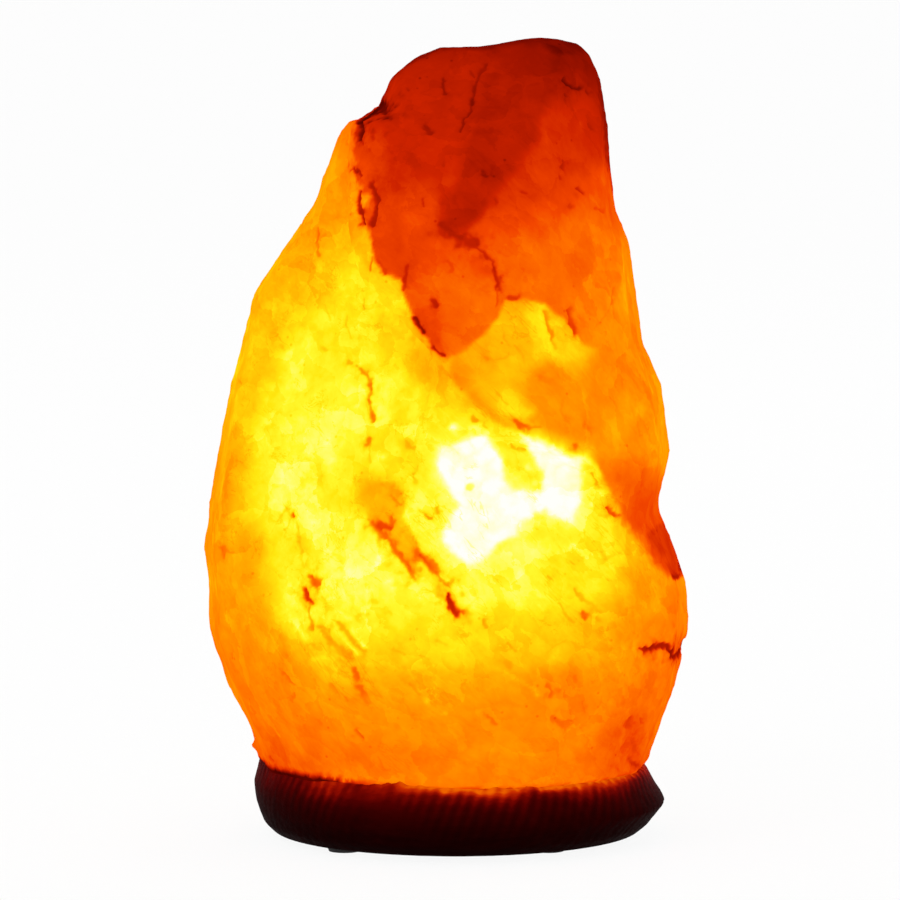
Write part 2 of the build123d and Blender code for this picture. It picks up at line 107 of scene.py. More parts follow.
def clouds(points, size_mm, offset, octaves=3):
    """Soft noise from about -1 to 1, with lumps of about size_mm. Each use has its own offset."""
    scaled = points / (size_mm * MM) + offset
    return np.array([noise.fractal(Vector(p), 1.0, 2.0, octaves) for p in scaled])


def scallops(points, size_mm, offset):
    """Shallow bowls side by side, as in splintered salt: 0 in a bowl's middle, 1 on the ridges."""
    scaled = points / (size_mm * MM) + offset
    nearest = np.array([noise.voronoi(Vector(p))[0][:2] for p in scaled])
    return np.clip(nearest[:, 0] / np.maximum(nearest[:, 1], 1e-6), 0, 1)


def read_vectors(source, key):
    values = np.empty(len(source) * 3, np.float32)
    source.foreach_get(key, values)
    return values.reshape(-1, 3).astype(float)


def mesh_points(mesh):
    return read_vectors(mesh.vertices, "co")


def mesh_normals(mesh):
    return read_vectors(mesh.vertex_normals, "vector")


def move_to(mesh, points):
    mesh.vertices.foreach_set("co", points.astype(np.float32).ravel())
    mesh.update()


def store_glow(mesh, level):
    attribute = mesh.attributes.new("glow", "FLOAT", "POINT")
    attribute.data.foreach_set("value", np.clip(level, 0, 1).astype(np.float32))


def remeshed(node, name, voxel_mm):
    """A copy of a CAD node in small even faces."""
    piece = object_from(name, frame["nodes"][node].data.copy())
    piece.data.materials.clear()
    modifier = piece.modifiers.new("remesh", "REMESH")
    modifier.mode = "VOXEL"
    modifier.voxel_size = voxel_mm * MM
    graph = bpy.context.evaluated_depsgraph_get()
    mesh = bpy.data.meshes.new_from_object(piece.evaluated_get(graph))
    piece.modifiers.clear()
    piece.data = mesh
    return piece


def evened(mesh, rounds):
    """Takes the steps of the remesh away by averaging each vertex with its neighbours."""
    axes = {"use_axis_x": True, "use_axis_y": True, "use_axis_z": True}
    form = bmesh.new()
    form.from_mesh(mesh)
    for _ in range(rounds):
        bmesh.ops.smooth_vert(form, verts=form.verts, factor=0.5, **axes)
    form.to_mesh(mesh)
    form.free()
    mesh.update()


def refined(mesh, chosen):
    """Halves the edges of the faces for which chosen(middles, normals) is true."""
    form = bmesh.new()
    form.from_mesh(mesh)
    form.normal_update()
    middles = np.array([face.calc_center_median() for face in form.faces])
    normals = np.array([face.normal for face in form.faces])
    wanted = chosen(middles, normals)
    edges = {edge for face, want in zip(form.faces, wanted) if want for edge in face.edges}
    edges = sorted(edges, key=lambda edge: edge.index)
    bmesh.ops.subdivide_edges(form, edges=edges, cuts=1, use_grid_fill=True)
    form.to_mesh(mesh)
    form.free()
    mesh.update()


def rounded_shading(piece):
    piece.data.polygons.foreach_set("use_smooth", [True] * len(piece.data.polygons))


# --- The glow, as the photograph shows it ---
# Places, widths and softness are in the photograph's pixels. A level runs from 0, black, to 100,
# white-hot. A share is how far a mark covers what lies under it, in percent.

# Washes are soft areas: middle across and down; half width and half height, at which the wash has
# half its strength; turn in degrees, clockwise; level; share.
BODY_WASHES = (
    (430, 480, 400, 420, 0, 61, 100),
    (380, 560, 190, 105, 0, 82, 100),  # heart of the block
    (345, 400, 92, 150, 10, 82.5, 100),  # left face
    (315, 440, 52, 85, 8, 87.5, 100),  # its pale middle
    (352, 320, 36, 52, 0, 83.5, 90),  # bright field under the cap
    (275, 275, 62, 34, -52, 67.5, 100),  # left shoulder
    (338, 195, 24, 72, 14, 63.5, 100),  # strip beside the cap
    (352, 132, 16, 26, 0, 52, 90),  # its upper end
    (236, 400, 17, 95, 12, 73.5, 100),  # left edge, upper half
    (206, 530, 26, 120, 4, 61.5, 100),  # left edge, lower half
    (245, 563, 20, 30, 0, 62, 90),
    (232, 640, 52, 62, 25, 59.5, 100),  # left flank
    (262, 690, 60, 40, 35, 55, 90),
    (500, 505, 92, 92, 0, 87, 90),  # all round the hot spot
    (570, 548, 70, 42, 10, 83, 90),
    (480, 705, 250, 32, 0, 61, 90),  # lower band
    (430, 775, 290, 54, 0, 53, 100),  # foot
    (480, 745, 90, 22, 0, 58.5, 80),  # brighter middle of the foot
    (286, 765, 42, 42, 40, 44, 90),  # foot, left end
    (645, 745, 44, 66, 14, 41, 90),  # foot, right end
    (570, 700, 26, 22, 0, 53, 70),
    (440, 640, 120, 30, 0, 78, 80),  # under the hot spot
    (370, 585, 80, 46, 18, 88.5, 90),  # pale field below the fracture
    (585, 590, 52, 36, 0, 80, 80),
    (648, 640, 34, 90, 6, 60, 100),  # right flank
    (684, 640, 18, 60, -6, 52, 80),  # right edge
    (655, 690, 30, 36, 20, 49, 80),
    (427, 362, 24, 26, -20, 64, 90),  # amber round the tip of the cap
    (396, 350, 16, 60, -18, 77.5, 80),
    (380, 496, 24, 20, 15, 65.5, 95),  # amber field above the fracture
    (393, 384, 14, 12, 0, 84, 60), (409, 444, 10, 6, 20, 74, 70), (404, 398, 8, 20, 20, 76, 60),
    (432, 480, 10, 34, 0, 80, 60), (300, 566, 12, 26, 0, 74, 60), (622, 505, 14, 34, -28, 70, 70),
    (431, 430, 18, 34, 0, 84, 70),  # between the fracture and the hot spot
    (520, 578, 60, 26, 0, 87.5, 80),
    (524, 466, 20, 28, 0, 84, 80),  # yellow gap in the hot spot
    (596, 494, 12, 38, -12, 84.5, 85), (612, 490, 7, 14, -20, 68, 60),
    (470, 590, 60, 22, 0, 88.5, 70), (316, 606, 26, 30, -10, 89, 70),
    (268, 704, 38, 20, 32, 51.5, 70), (385, 758, 54, 15, 0, 50, 70), (560, 690, 44, 20, 0, 59, 50),
    (628, 742, 20, 30, 20, 40, 60), (300, 440, 22, 30, 0, 90, 50), (305, 385, 20, 26, 10, 89, 50),
    (550, 452, 40, 8, 24, 86, 80),  # bright line along the ledge
    (300, 600, 22, 20, 0, 86, 60), (445, 696, 46, 20, 0, 66.5, 60), (500, 654, 26, 14, 0, 70, 60),
    (590, 632, 16, 15, 0, 69, 60), (282, 612, 9, 26, -24, 78, 60), (260, 345, 16, 34, 14, 77.5, 60),
    (330, 330, 14, 40, 14, 85, 60), (318, 474, 10, 12, 0, 77, 60), (412, 572, 28, 20, 40, 91.5, 75),
    (391, 289, 9, 8, 0, 73, 60), (362, 570, 10, 12, 0, 82, 40), (320, 440, 20, 24, 0, 93, 50),
    (520, 552, 24, 10, 0, 93, 70), (350, 668, 24, 14, 20, 75, 60), (300, 738, 26, 16, 0, 56, 50),
    (652, 630, 46, 14, 0, 52, 50), (350, 170, 12, 24, 0, 53, 50), (389, 470, 17, 13, 0, 87, 70),
    (314, 268, 26, 22, -30, 74, 50), (325, 515, 14, 22, 0, 88, 50),
)

SHELF = (  # the face between the cap and the ledge; its lower side is the ledge's bright line
    (446, 350), (450, 378), (466, 397), (484, 414), (505, 426), (522, 433), (560, 447), (583, 456),
    (599, 465), (611, 485), (618, 508), (631, 531), (646, 554), (664, 575), (700, 580), (700, 200),
    (560, 200), (498, 290),
)
SHELF_WASHES = (
    (580, 400, 400, 400, 0, 60, 100),  # its ground
    (536, 338, 44, 36, 10, 72, 100),  # yellow field
    (543, 335, 12, 32, -6, 81, 90), (574, 352, 20, 22, -20, 74.5, 70),
    (503, 372, 32, 32, 0, 72, 90), (489, 345, 14, 14, 0, 66, 70),
    (455, 372, 20, 24, 0, 60, 90),  # amber hollow
    (450, 402, 18, 14, 0, 70, 70), (507, 404, 26, 14, 40, 76.5, 80), (525, 412, 10, 6, 10, 78, 60),
    (553, 382, 30, 16, 0, 57, 90), (567, 417, 20, 24, -20, 60, 90), (625, 410, 32, 50, 0, 57.5, 80),
    (612, 428, 11, 30, -6, 66.5, 80), (622, 405, 20, 18, 0, 65.5, 70),
    (658, 450, 12, 46, 0, 63.5, 80), (640, 440, 16, 34, 0, 58.5, 70), (636, 352, 22, 34, 0, 56, 70),
    (603, 392, 18, 40, 0, 54.5, 80), (596, 446, 20, 15, 20, 56, 70), (630, 412, 12, 14, 0, 66, 60),
    (630, 530, 9, 10, 0, 52, 50), (638, 482, 34, 20, 20, 45, 90), (450, 390, 14, 12, 0, 52, 70),
    (646, 512, 26, 26, 40, 41, 90),  # red hollow under the ledge's end
    (668, 545, 24, 28, 0, 36, 90),
)

CAP = (  # the dark, impure salt at the top
    (357, 119), (357, 135), (353, 150), (352, 168), (358, 184), (367, 196), (364, 212), (368, 226),
    (371, 240), (376, 262), (382, 275), (401, 279), (404, 298), (415, 318), (423, 333), (433, 349),
    (444, 356), (466, 349), (487, 336), (497, 317), (506, 300), (520, 299), (538, 302), (556, 311),
    (570, 328), (584, 345), (610, 352), (700, 352), (700, 20), (340, 20),
)
CAP_WASHES = (
    (560, 300, 110, 70, 0, 53, 100), (430, 300, 90, 60, 0, 44, 100),
    (490, 20, 260, 105, 0, 23.5, 100),  # upper cap
    (545, 40, 100, 40, 12, 14.5, 90),  # its dark corner
    (440, 150, 90, 56, 0, 28.5, 100),  # middle of the cap
    (500, 150, 34, 62, 8, 24.5, 90), (575, 95, 30, 18, 20, 22.5, 90),
    (576, 145, 44, 30, 0, 31.5, 90),
    (462, 205, 20, 42, 12, 28, 90),  # darker fold down to the bent crack
    (388, 192, 30, 30, 0, 32, 80), (402, 160, 14, 34, 0, 27.5, 60), (505, 185, 30, 22, 0, 29.5, 70),
    (585, 200, 48, 26, 0, 38.5, 80), (525, 205, 36, 30, 0, 34.5, 80),
    (545, 165, 40, 28, 0, 32.5, 70), (580, 125, 34, 26, 0, 29, 70), (435, 84, 64, 34, -6, 25.5, 60),
    (540, 235, 44, 20, 0, 40, 60), (614, 205, 12, 50, 4, 41, 70), (372, 262, 6, 22, -12, 42, 60),
    (470, 150, 9, 12, 10, 27, 60),
    (420, 240, 52, 34, 0, 39.5, 90),  # lower lobe, left
    (390, 245, 16, 30, 0, 36, 70),
    (455, 290, 34, 40, 20, 45, 90),  # lower lobe
    (402, 266, 16, 16, 0, 38.5, 70),
    (430, 328, 12, 24, -30, 39, 90),  # its tip
    (484, 305, 14, 26, 0, 50, 70), (480, 262, 16, 16, 0, 38, 80),
    (560, 265, 40, 34, 0, 47, 90),  # upper right
    (604, 235, 34, 34, 0, 50.5, 80),
    (625, 300, 22, 60, 4, 57.5, 90),  # right edge
    (590, 300, 24, 24, 0, 52, 80), (560, 318, 18, 8, 40, 48, 80), (371, 240, 10, 24, 0, 34, 60),
    (612, 220, 14, 24, 0, 41, 50), (510, 270, 18, 18, 0, 43, 60), (530, 291, 16, 10, 0, 52, 70),
    (607, 108, 12, 18, 0, 20, 60),
    (624, 290, 4, 30, 0, 66, 80),  # amber sliver
    (548, 46, 110, 5, 3, 10, 70),  # rim against the light
)
CAP_TOP = (  # the upper contour of the block
    (386, 80), (400, 66), (420, 55), (440, 47), (480, 46), (500, 43), (520, 39), (540, 37),
    (560, 39), (580, 44), (592, 54), (601, 72),
)
CAP_RIM = ((376, 100), *CAP_TOP, (605, 105), (610, 150), (616, 190))  # dark against the light

# Areas with a plain edge: outline, softness of the edge, level, share.
DARK_BAND = (  # runs from the top of the cap down to its bent crack
    ((497, 40), (481, 96), (467, 140), (459, 177), (445, 202), (441, 226), (456, 232), (478, 221),
     (496, 191), (525, 155), (540, 133), (552, 90), (556, 60), (540, 40)),
    8, 21.5, 70,
)
WHITE_HOT = (
    ((439, 447), (455, 442), (473, 437), (487, 436), (495, 447), (504, 459), (504, 478), (514, 490),
     (542, 490), (542, 472), (532, 453), (520, 436), (542, 444), (567, 453), (582, 459), (582, 481),
     (579, 503), (570, 521), (554, 515), (545, 509), (529, 518), (520, 524), (517, 537), (498, 543),
     (489, 556), (473, 565), (458, 556), (445, 543), (442, 531), (448, 518), (458, 503), (448, 490),
     (442, 478), (438, 465)),
    4.5, 100, 100,
)
FRACTURE = (  # its open side, amber
    ((368, 486), (384, 482), (398, 486), (404, 500), (402, 516), (410, 530), (420, 546), (418, 556),
     (416, 570), (414, 578), (411, 573), (405, 563), (398, 555), (391, 546), (385, 536), (377, 529),
     (371, 521), (364, 508), (361, 496)),
    2.5, 68.5, 85,
)
LENS = (  # red hollow at the right edge, under the ledge's end
    (648, 533), (654, 529), (664, 522), (676, 530), (690, 560), (686, 574), (675, 580), (664, 573),
    (659, 560), (650, 549),
)

# Strokes: the places of the path, one after another; width; level; share.
CRACKS = (
    # between the cap and the left face
    (359, 120, 361, 128, 358, 139, 4.5, 8, 90), (352, 168, 355, 172, 3, 18, 80),
    (359, 171, 360, 174, 3, 22, 70), (359, 192, 357, 201, 360, 212, 363, 224, 3.2, 20, 90),
    (370, 184, 376, 196, 376, 206, 372, 223, 4.6, 20, 85), (371, 256, 369, 270, 1.8, 50, 80),
    (379, 262, 384, 274, 3, 34, 70), (407, 266, 405, 277, 403, 290, 3.5, 30, 80),
    (415, 318, 423, 332, 3.2, 13, 90), (432, 348, 438, 353, 445, 355, 3.5, 22, 90),
    # on the cap
    (364, 116, 373, 110, 380, 103, 7, 2, 85), (380, 106, 384, 110, 9, 8, 80),
    (443, 79, 444, 86, 446, 93, 2.6, 15, 80), (425, 125, 430, 131, 3, 18, 80),
    (407, 88, 409, 90, 3, 19, 60),
    (486, 62, 480, 71, 475, 86, 472, 101, 471, 110, 464, 119, 460, 130, 2.4, 15, 75),
    (472, 99, 472, 103, 3.8, 13, 80), (470, 70, 474, 76, 2.2, 17, 60),
    (484, 174, 487, 176, 4.2, 12, 90), (564, 78, 568, 84, 575, 88, 582, 88, 3.4, 9, 90),
    (566, 95, 567, 96, 2.8, 16, 70), (587, 92, 589, 93, 3, 14, 70), (590, 124, 593, 128, 3, 25, 60),
    (565, 163, 563, 167, 4, 25, 80), (560, 177, 561, 179, 2.6, 28, 70),
    (522, 192, 528, 193, 3, 27, 70), (579, 189, 585, 193, 3.6, 27, 85),
    (571, 205, 573, 207, 3.4, 32, 70), (597, 208, 604, 211, 2.4, 38, 70),
    (495, 199, 497, 201, 2.8, 24, 70), (509, 152, 506, 158, 2.6, 23, 60),
    (422, 199, 423, 205, 2.8, 27, 70), (444, 162, 443, 167, 2.6, 24, 60),
    (441, 224, 447, 230, 455, 235, 463, 238, 4, 20, 85),
    (463, 238, 472, 246, 484, 251, 492, 261, 496, 270, 3.2, 28, 85),
    (446, 230, 458, 238, 474, 243, 13, 26, 50), (464, 236, 470, 240, 478, 243, 6, 24, 80),
    (495, 268, 497, 279, 498, 288, 5.5, 25, 85), (498, 288, 497, 306, 1.8, 38, 80),
    (510, 298, 517, 299, 4, 32, 85), (435, 302, 436, 306, 4.5, 25, 90),
    (449, 262, 452, 270, 2.4, 36, 60),
    # between the cap and the ledge
    (546, 312, 549, 324, 553, 339, 2.6, 58, 85), (553, 340, 557, 348, 1.4, 66, 70),
    (568, 310, 572, 320, 576, 331, 4.4, 35, 85), (503, 328, 504, 340, 511, 345, 1.4, 64, 70),
    (515, 345, 523, 356, 525, 366, 1.6, 65, 60), (485, 357, 487, 359, 3, 58, 80),
    (494, 360, 505, 357, 509, 353, 1.4, 64, 60), (498, 394, 507, 404, 1.4, 66, 60),
    (614, 288, 613, 304, 606, 316, 596, 328, 1.4, 50, 70), (473, 418, 475, 420, 4, 56, 80),
    (516, 421, 521, 425, 528, 427, 4.4, 42, 85), (528, 427, 540, 427, 2.6, 55, 70),
    (588, 427, 590, 428, 5.5, 50, 80), (576, 445, 577, 447, 3.6, 50, 80),
    (563, 404, 562, 414, 568, 421, 4, 54.5, 60), (541, 377, 552, 381, 5, 53, 60),
    (511, 445, 515, 449, 525, 450, 2.2, 70, 80), (484, 426, 486, 428, 2.4, 70, 60),
    (654, 452, 655, 456, 4, 52, 70), (620, 476, 621, 480, 6, 43, 70),
    (592, 474, 598, 488, 3, 66, 80),
    # on the left face
    (319, 228, 317, 240, 317, 255, 1.8, 52, 85), (321, 236, 324, 233, 1.6, 58, 70),
    (363, 300, 363, 308, 1.8, 70, 80), (347, 316, 346, 326, 350, 338, 1.5, 76, 80),
    (322, 297, 325, 308, 330, 320, 1.8, 77, 70), (348, 362, 351, 363, 2.6, 68, 80),
    (358, 368, 366, 374, 369, 384, 3.4, 60, 90), (369, 384, 369, 401, 371, 418, 1.8, 64, 80),
    (369, 386, 369, 389, 3, 50, 80), (369, 400, 370, 403, 3, 50, 80),
    (371, 416, 371, 419, 3.6, 48, 80), (368, 438, 367, 443, 3.2, 54, 80),
    (369, 443, 370, 462, 1.4, 74, 60), (405, 441, 410, 447, 415, 447, 2.6, 68, 70),
    (323, 348, 325, 350, 3, 74, 70), (280, 344, 282, 348, 3, 70, 60),
    (238, 380, 240, 382, 2.4, 64, 70), (292, 514, 293, 516, 3.6, 40, 90),
    (277, 520, 283, 511, 290, 508, 1.4, 74, 70), (286, 527, 291, 518, 1.4, 74, 70),
    (221, 548, 222, 555, 4, 50, 85), (226, 551, 233, 552, 2, 54, 60),
    (311, 577, 315, 582, 6, 44, 90), (303, 590, 306, 596, 309, 602, 5.2, 32, 90),
    (296, 522, 299, 545, 303, 566, 2.6, 72, 70), (309, 603, 309, 618, 311, 628, 1.6, 64, 80),
    # the fracture beside the hot spot
    (371, 521, 377, 529, 385, 536, 4, 48, 85), (378, 524, 384, 526, 389, 528, 6.2, 37, 90),
    (390, 516, 391, 522, 3.2, 48, 80),
    (386, 537, 392, 546, 399, 555, 406, 563, 412, 573, 5, 49, 90),
    (412, 573, 414, 577, 3.4, 58, 80), (392, 490, 396, 493, 9, 60, 70),
    (390, 496, 395, 501, 400, 504, 2.6, 56, 80), (382, 484, 385, 488, 3, 64, 70),
    (418, 554, 424, 560, 430, 565, 437, 572, 7, 50, 90),
    (420, 556, 430, 567, 436, 572, 2.4, 44, 70), (438, 574, 442, 580, 446, 584, 3.2, 60, 80),
    (439, 588, 440, 596, 9, 73.5, 70), (449, 594, 451, 602, 4, 22, 90),
    (451, 602, 454, 609, 457, 613, 5.6, 28, 95), (425, 515, 429, 518, 432, 519, 2.8, 58, 85),
    (437, 508, 437, 512, 3.4, 64, 80), (419, 511, 424, 514, 1.6, 70, 70),
    (412, 474, 414, 481, 2.6, 70, 70), (354, 478, 354, 482, 2.6, 72, 60),
    (372, 600, 377, 603, 4, 80, 70), (358, 616, 367, 614, 4.4, 76, 70),
    (370, 601, 378, 603, 4, 79, 70), (388, 612, 391, 614, 3.6, 80, 60),
    (405, 608, 408, 609, 3.6, 81, 60),
    # slanting flakes of the lower left face
    (322, 628, 327, 636, 334, 645, 341, 652, 350, 659, 6.5, 64, 90),
    (321, 627, 328, 630, 2, 64, 70),
    (338, 622, 345, 632, 353, 642, 362, 651, 366, 652, 4.2, 67, 85),
    (358, 646, 363, 652, 2.4, 64, 70), (311, 645, 319, 650, 4, 70, 80),
    (311, 626, 312, 629, 3, 60, 80), (322, 597, 324, 600, 3.2, 79, 70),
    (326, 668, 331, 673, 3, 64, 70), (340, 672, 343, 674, 3.2, 63, 60),
    (331, 686, 335, 693, 4, 53.5, 70), (345, 698, 347, 701, 3.4, 52, 70),
    (403, 668, 408, 673, 3, 69, 70), (410, 685, 419, 694, 3.2, 59, 80),
    (427, 688, 430, 690, 3.2, 61, 70), (383, 636, 387, 640, 4, 75, 60),
    (394, 650, 404, 655, 3.2, 73, 60), (286, 655, 290, 662, 3, 60, 60),
    (438, 640, 446, 644, 3, 72, 60), (420, 655, 428, 660, 2.6, 70, 60),
    (375, 668, 384, 672, 2.6, 68, 60),
    # right of the hot spot
    (469, 488, 472, 486, 4, 86, 70), (608, 508, 613, 512, 618, 516, 3.4, 40, 90),
    (548, 577, 550, 579, 3.4, 72, 70), (560, 603, 568, 617, 574, 622, 2.4, 68, 80),
    (575, 590, 578, 596, 582, 600, 3, 68, 70), (580, 594, 592, 606, 600, 612, 4, 68, 60),
    (584, 613, 587, 618, 4, 46, 90), (597, 618, 599, 621, 2.8, 62, 70),
    (484, 620, 487, 628, 2.8, 64, 80), (463, 635, 467, 635, 2.6, 68, 70),
    (508, 643, 512, 647, 516, 652, 2, 64, 70), (549, 654, 556, 646, 566, 640, 1.6, 68, 60),
    (600, 552, 606, 557, 613, 556, 2.2, 72, 60), (642, 649, 652, 650, 3.4, 28, 85),
    (650, 650, 660, 646, 668, 645, 672, 652, 5.6, 20, 95),
    (672, 652, 676, 659, 681, 652, 686, 641, 5, 18, 95), (639, 660, 640, 668, 6, 50, 50),
    # below
    (283, 674, 288, 680, 293, 685, 3.2, 49, 80), (293, 694, 294, 698, 3, 48, 80),
    (318, 721, 320, 725, 3.4, 51, 70), (230, 654, 231, 657, 3, 52, 60),
    (355, 672, 358, 678, 4.4, 45, 85), (360, 688, 362, 694, 6, 44, 85),
    (363, 697, 369, 704, 4.6, 50, 70), (356, 732, 360, 736, 363, 740, 3.8, 42, 85),
    (395, 727, 397, 729, 3.4, 53, 60), (412, 717, 418, 720, 7, 54, 60),
    (378, 758, 383, 770, 387, 772, 2, 47, 70), (340, 660, 350, 668, 3, 64, 60),
    (488, 716, 492, 721, 497, 725, 3.4, 48, 85), (506, 663, 511, 667, 6, 60, 60),
    (548, 687, 552, 692, 551, 697, 4.4, 45, 85), (556, 689, 559, 691, 4, 50, 60),
    (555, 720, 566, 725, 571, 725, 6, 45, 85), (582, 728, 584, 731, 2.8, 51, 60),
    (575, 677, 576, 681, 3.2, 53, 60), (584, 703, 586, 708, 5, 51, 60),
    (632, 720, 628, 727, 5, 37, 85), (642, 719, 643, 723, 3.2, 38, 80),
    (628, 745, 624, 751, 5, 39, 80), (634, 740, 638, 752, 4, 37, 60),
    (634, 764, 640, 768, 5, 31, 80), (612, 766, 620, 770, 3.4, 40, 70),
    (464, 765, 478, 768, 5, 53, 60), (269, 757, 272, 761, 3.4, 34, 70),
)
LENS_EDGES = (
    (669, 525, 676, 540, 681, 558, 683, 568, 4.6, 13, 70),
    (660, 571, 671, 578, 679, 576, 4, 19, 70), (649, 533, 649, 545, 655, 553, 3, 24, 70),
)
BRIGHT_FLAKES = (  # bright sides of the slanting flakes
    (330, 620, 339, 634, 348, 644, 356, 654, 4.4, 90, 80),
    (294, 622, 300, 632, 307, 640, 5, 90, 80), (308, 641, 318, 645, 325, 654, 332, 660, 4, 80, 70),
    (313, 660, 327, 658, 3.6, 79, 70), (352, 630, 360, 641, 368, 648, 4.4, 90, 75),
    (283, 598, 288, 612, 296, 624, 4, 84, 60), (320, 672, 325, 680, 4, 70, 60),
    (370, 680, 384, 690, 398, 696, 4, 68, 60), (390, 660, 402, 666, 414, 676, 4, 77, 60),
    (372, 393, 373, 404, 3, 91, 70), (300, 372, 306, 352, 5, 84, 50),
    (262, 420, 270, 396, 282, 372, 4, 83, 50), (252, 450, 258, 430, 3.6, 80, 50),
    (343, 318, 339, 336, 342, 352, 3, 87, 60), (610, 620, 600, 640, 586, 652, 3, 72, 50),
    (560, 650, 548, 662, 3, 76, 50), (512, 676, 526, 684, 538, 694, 3, 70, 50),
)
SPARKS = (  # bright grains, strokes of a single place
    (332, 461, 7, 95, 80), (311, 455, 5, 95, 70), (382, 456, 7, 96, 80), (357, 407, 5, 94, 70),
    (364, 392, 4, 93, 80), (452, 429, 6, 95, 80), (380, 560, 5, 95, 70), (387, 581, 7, 97, 90),
    (392, 588, 5, 96, 70), (368, 590, 5, 95, 70), (376, 628, 5, 90, 70), (572, 547, 6, 95, 80),
    (591, 505, 4, 95, 80), (473, 595, 6, 93, 70), (520, 577, 7, 92, 60), (427, 698, 6, 75, 80),
    (444, 713, 5, 72, 80), (472, 434, 5, 92, 60), (455, 430, 6, 97, 70), (529, 468, 7, 96, 80),
    (534, 480, 5, 95, 70), (335, 385, 10, 90, 60), (400, 566, 7, 93, 70), (664, 558, 9, 42, 70),
)


def along(points, start, end):
    """Distance of each point from the line between two places."""
    way = np.subtract(end, start)
    share = np.clip(((points - start) @ way) / (way @ way), 0, 1)
    return np.hypot(*(points - start - share[:, None] * way).T)


def path_distance(points, path):
    return np.min([along(points, a, b) for a, b in zip(path, path[1:])], axis=0)


def outline_distance(points, outline):
    """Distance to an outline, above zero inside it."""
    inside = np.zeros(len(points), bool)
    for (ax, ay), (bx, by) in zip(outline, outline[1:] + outline[:1]):
        if ay != by:
            spans = (ay > points[:, 1]) != (by > points[:, 1])
            inside ^= spans & (points[:, 0] < ax + (points[:, 1] - ay) * (bx - ax) / (by - ay))
    return np.where(inside, 1, -1) * path_distance(points, outline + outline[:1])


def parted(row):
    """Path, half width, level and share of a stroke."""
    *places, width, level, share = row
    return tuple(zip(places[::2], places[1::2])), width / 2, level / 100, share / 100


def lay(level, target, share):
    return level + (target - level) * share


def washed(points, level, washes):
    for x, y, half_width, half_height, turn, target, share in washes:
        angle = math.radians(turn)
        across = (points - (x, y)) @ (math.cos(angle), math.sin(angle)) / half_width
        down = (points - (x, y)) @ (-math.sin(angle), math.cos(angle)) / half_height
        strength = share / 100 * 0.5 ** (np.hypot(across, down) ** 3)
        level = lay(level, target / 100, strength)
    return level


def washed_patch(points, level, outline, soft, washes):
    """Washes that stay inside an outline."""
    within = smooth(-soft, soft, outline_distance(points, outline))
    return lay(level, washed(points, level, washes), within)


def plain_edged(points, level, area):
    outline, soft, target, share = area
    within = smooth(-soft, soft, outline_distance(points, outline))
    return lay(level, target / 100, share / 100 * within)


def stroke(points, level, path, half_width, target, share, power=2):
    near = 0.5 ** ((path_distance(points, path) / half_width) ** power)
    return lay(level, target, share * near)


def painted_fields(points, level):
    """The broad fields of light."""
    level = washed(points, level, BODY_WASHES)
    level = washed_patch(points, level, SHELF, 4, SHELF_WASHES)
    level = washed_patch(points, level, CAP, 3, CAP_WASHES)
    return plain_edged(points, level, DARK_BAND)


def painted_marks(points, crack_points, ragged, lens_share, level):
    """The hot spot, fracture, lens, grains, flakes and cracks, less displaced than the fields."""
    hot_points = (points + crack_points) / 2
    halo = smooth(-22, 2, outline_distance(hot_points, WHITE_HOT[0]))
    level = lay(level, 0.895, 0.75 * halo)
    level = plain_edged(hot_points, level, WHITE_HOT)
    level = plain_edged(crack_points, level, FRACTURE)
    in_lens = smooth(-2.5, 2.5, outline_distance(hot_points, LENS)) * lens_share
    level = lay(level, 0.33, 0.9 * in_lens)
    for path, half_width, target, share in map(parted, LENS_EDGES):
        share = share * lens_share
        level = stroke(crack_points, level, path, half_width / ragged, target, share, 3)
    level = stroke(crack_points, level, CAP_RIM, 2.4, 0.10, 0.65)
    for (place,), half_width, target, share in map(parted, SPARKS):
        away = np.hypot(*(points - place).T) / half_width
        level = lay(level, target, share * 0.5 ** (away**2))
    for path, half_width, target, share in map(parted, BRIGHT_FLAKES):
        level = stroke(crack_points, level, path, half_width / ragged, target, share)
    for path, half_width, target, share in map(parted, CRACKS):
        soft_width, soft_target = 2.4 * half_width / ragged, (target + level) / 2
        level = stroke(crack_points, level, path, soft_width, soft_target, 0.45 * share)
        level = stroke(crack_points, level, path, half_width / ragged, target, share, 3)
    return level


# --- Salt block ---

FILAMENT = np.array((0.0, 0.0, 102.0)) * MM
BLOCK_VOXEL_MM = 1.5
BORE_RADIUS_MM, BORE_TOP_MM, BLOCK_FOOT_MM = 26.5, 152.0, 23.2
PLINTH_TOP_MM = 22.0
RIDGE_MM, CHIP_MM, GRAIN_MM = 1.0, 0.35, 0.09  # heights of the three sizes of relief
CRACK_MM = 0.9  # depth of a crack
CAP_FROM_MM = 176  # height at which the impure salt of the cap begins, round the sides and back
FIELDS_FADE_MM = (27, 8)  # how far behind the axis the painted fields end, and begin to fade
MARKS_FADE_MM = (7, 0)  # the same for the hot spot, the cracks and the other marks
LENS_DEPTH_MM, LENS_HEIGHT_MM, LENS_LEAN = -11, 86.2, 0.15  # place of the lens, seen from the side
LENS_HALF_DEPTH_MM, LENS_HALF_HEIGHT_MM = 20, 10.5
SPUR_PX, SPUR_REACH_PX, SPUR_MM = (254, 746), 3.2, 1.5  # splinter at the lower left corner
FOOT_SHADE_MM = (  # how high the painted shade of the plinth's lip stands on the block's foot, from left to right
    (-60, 1.6), (-50, 2.0), (-44, 1.9), (-36, 1.6), (-28, 1.1), (-18, 0.2), (-8, -0.6),
)
VEIN_SHEETS = (  # natural cracks of the sides and back: direction across, spacing in mm, offset
    ((0.78, 0.34, -0.52), 24, 0.3), ((-0.34, 0.74, 0.58), 31, 3.7), ((0.55, -0.30, 0.78), 37, 7.1),
)
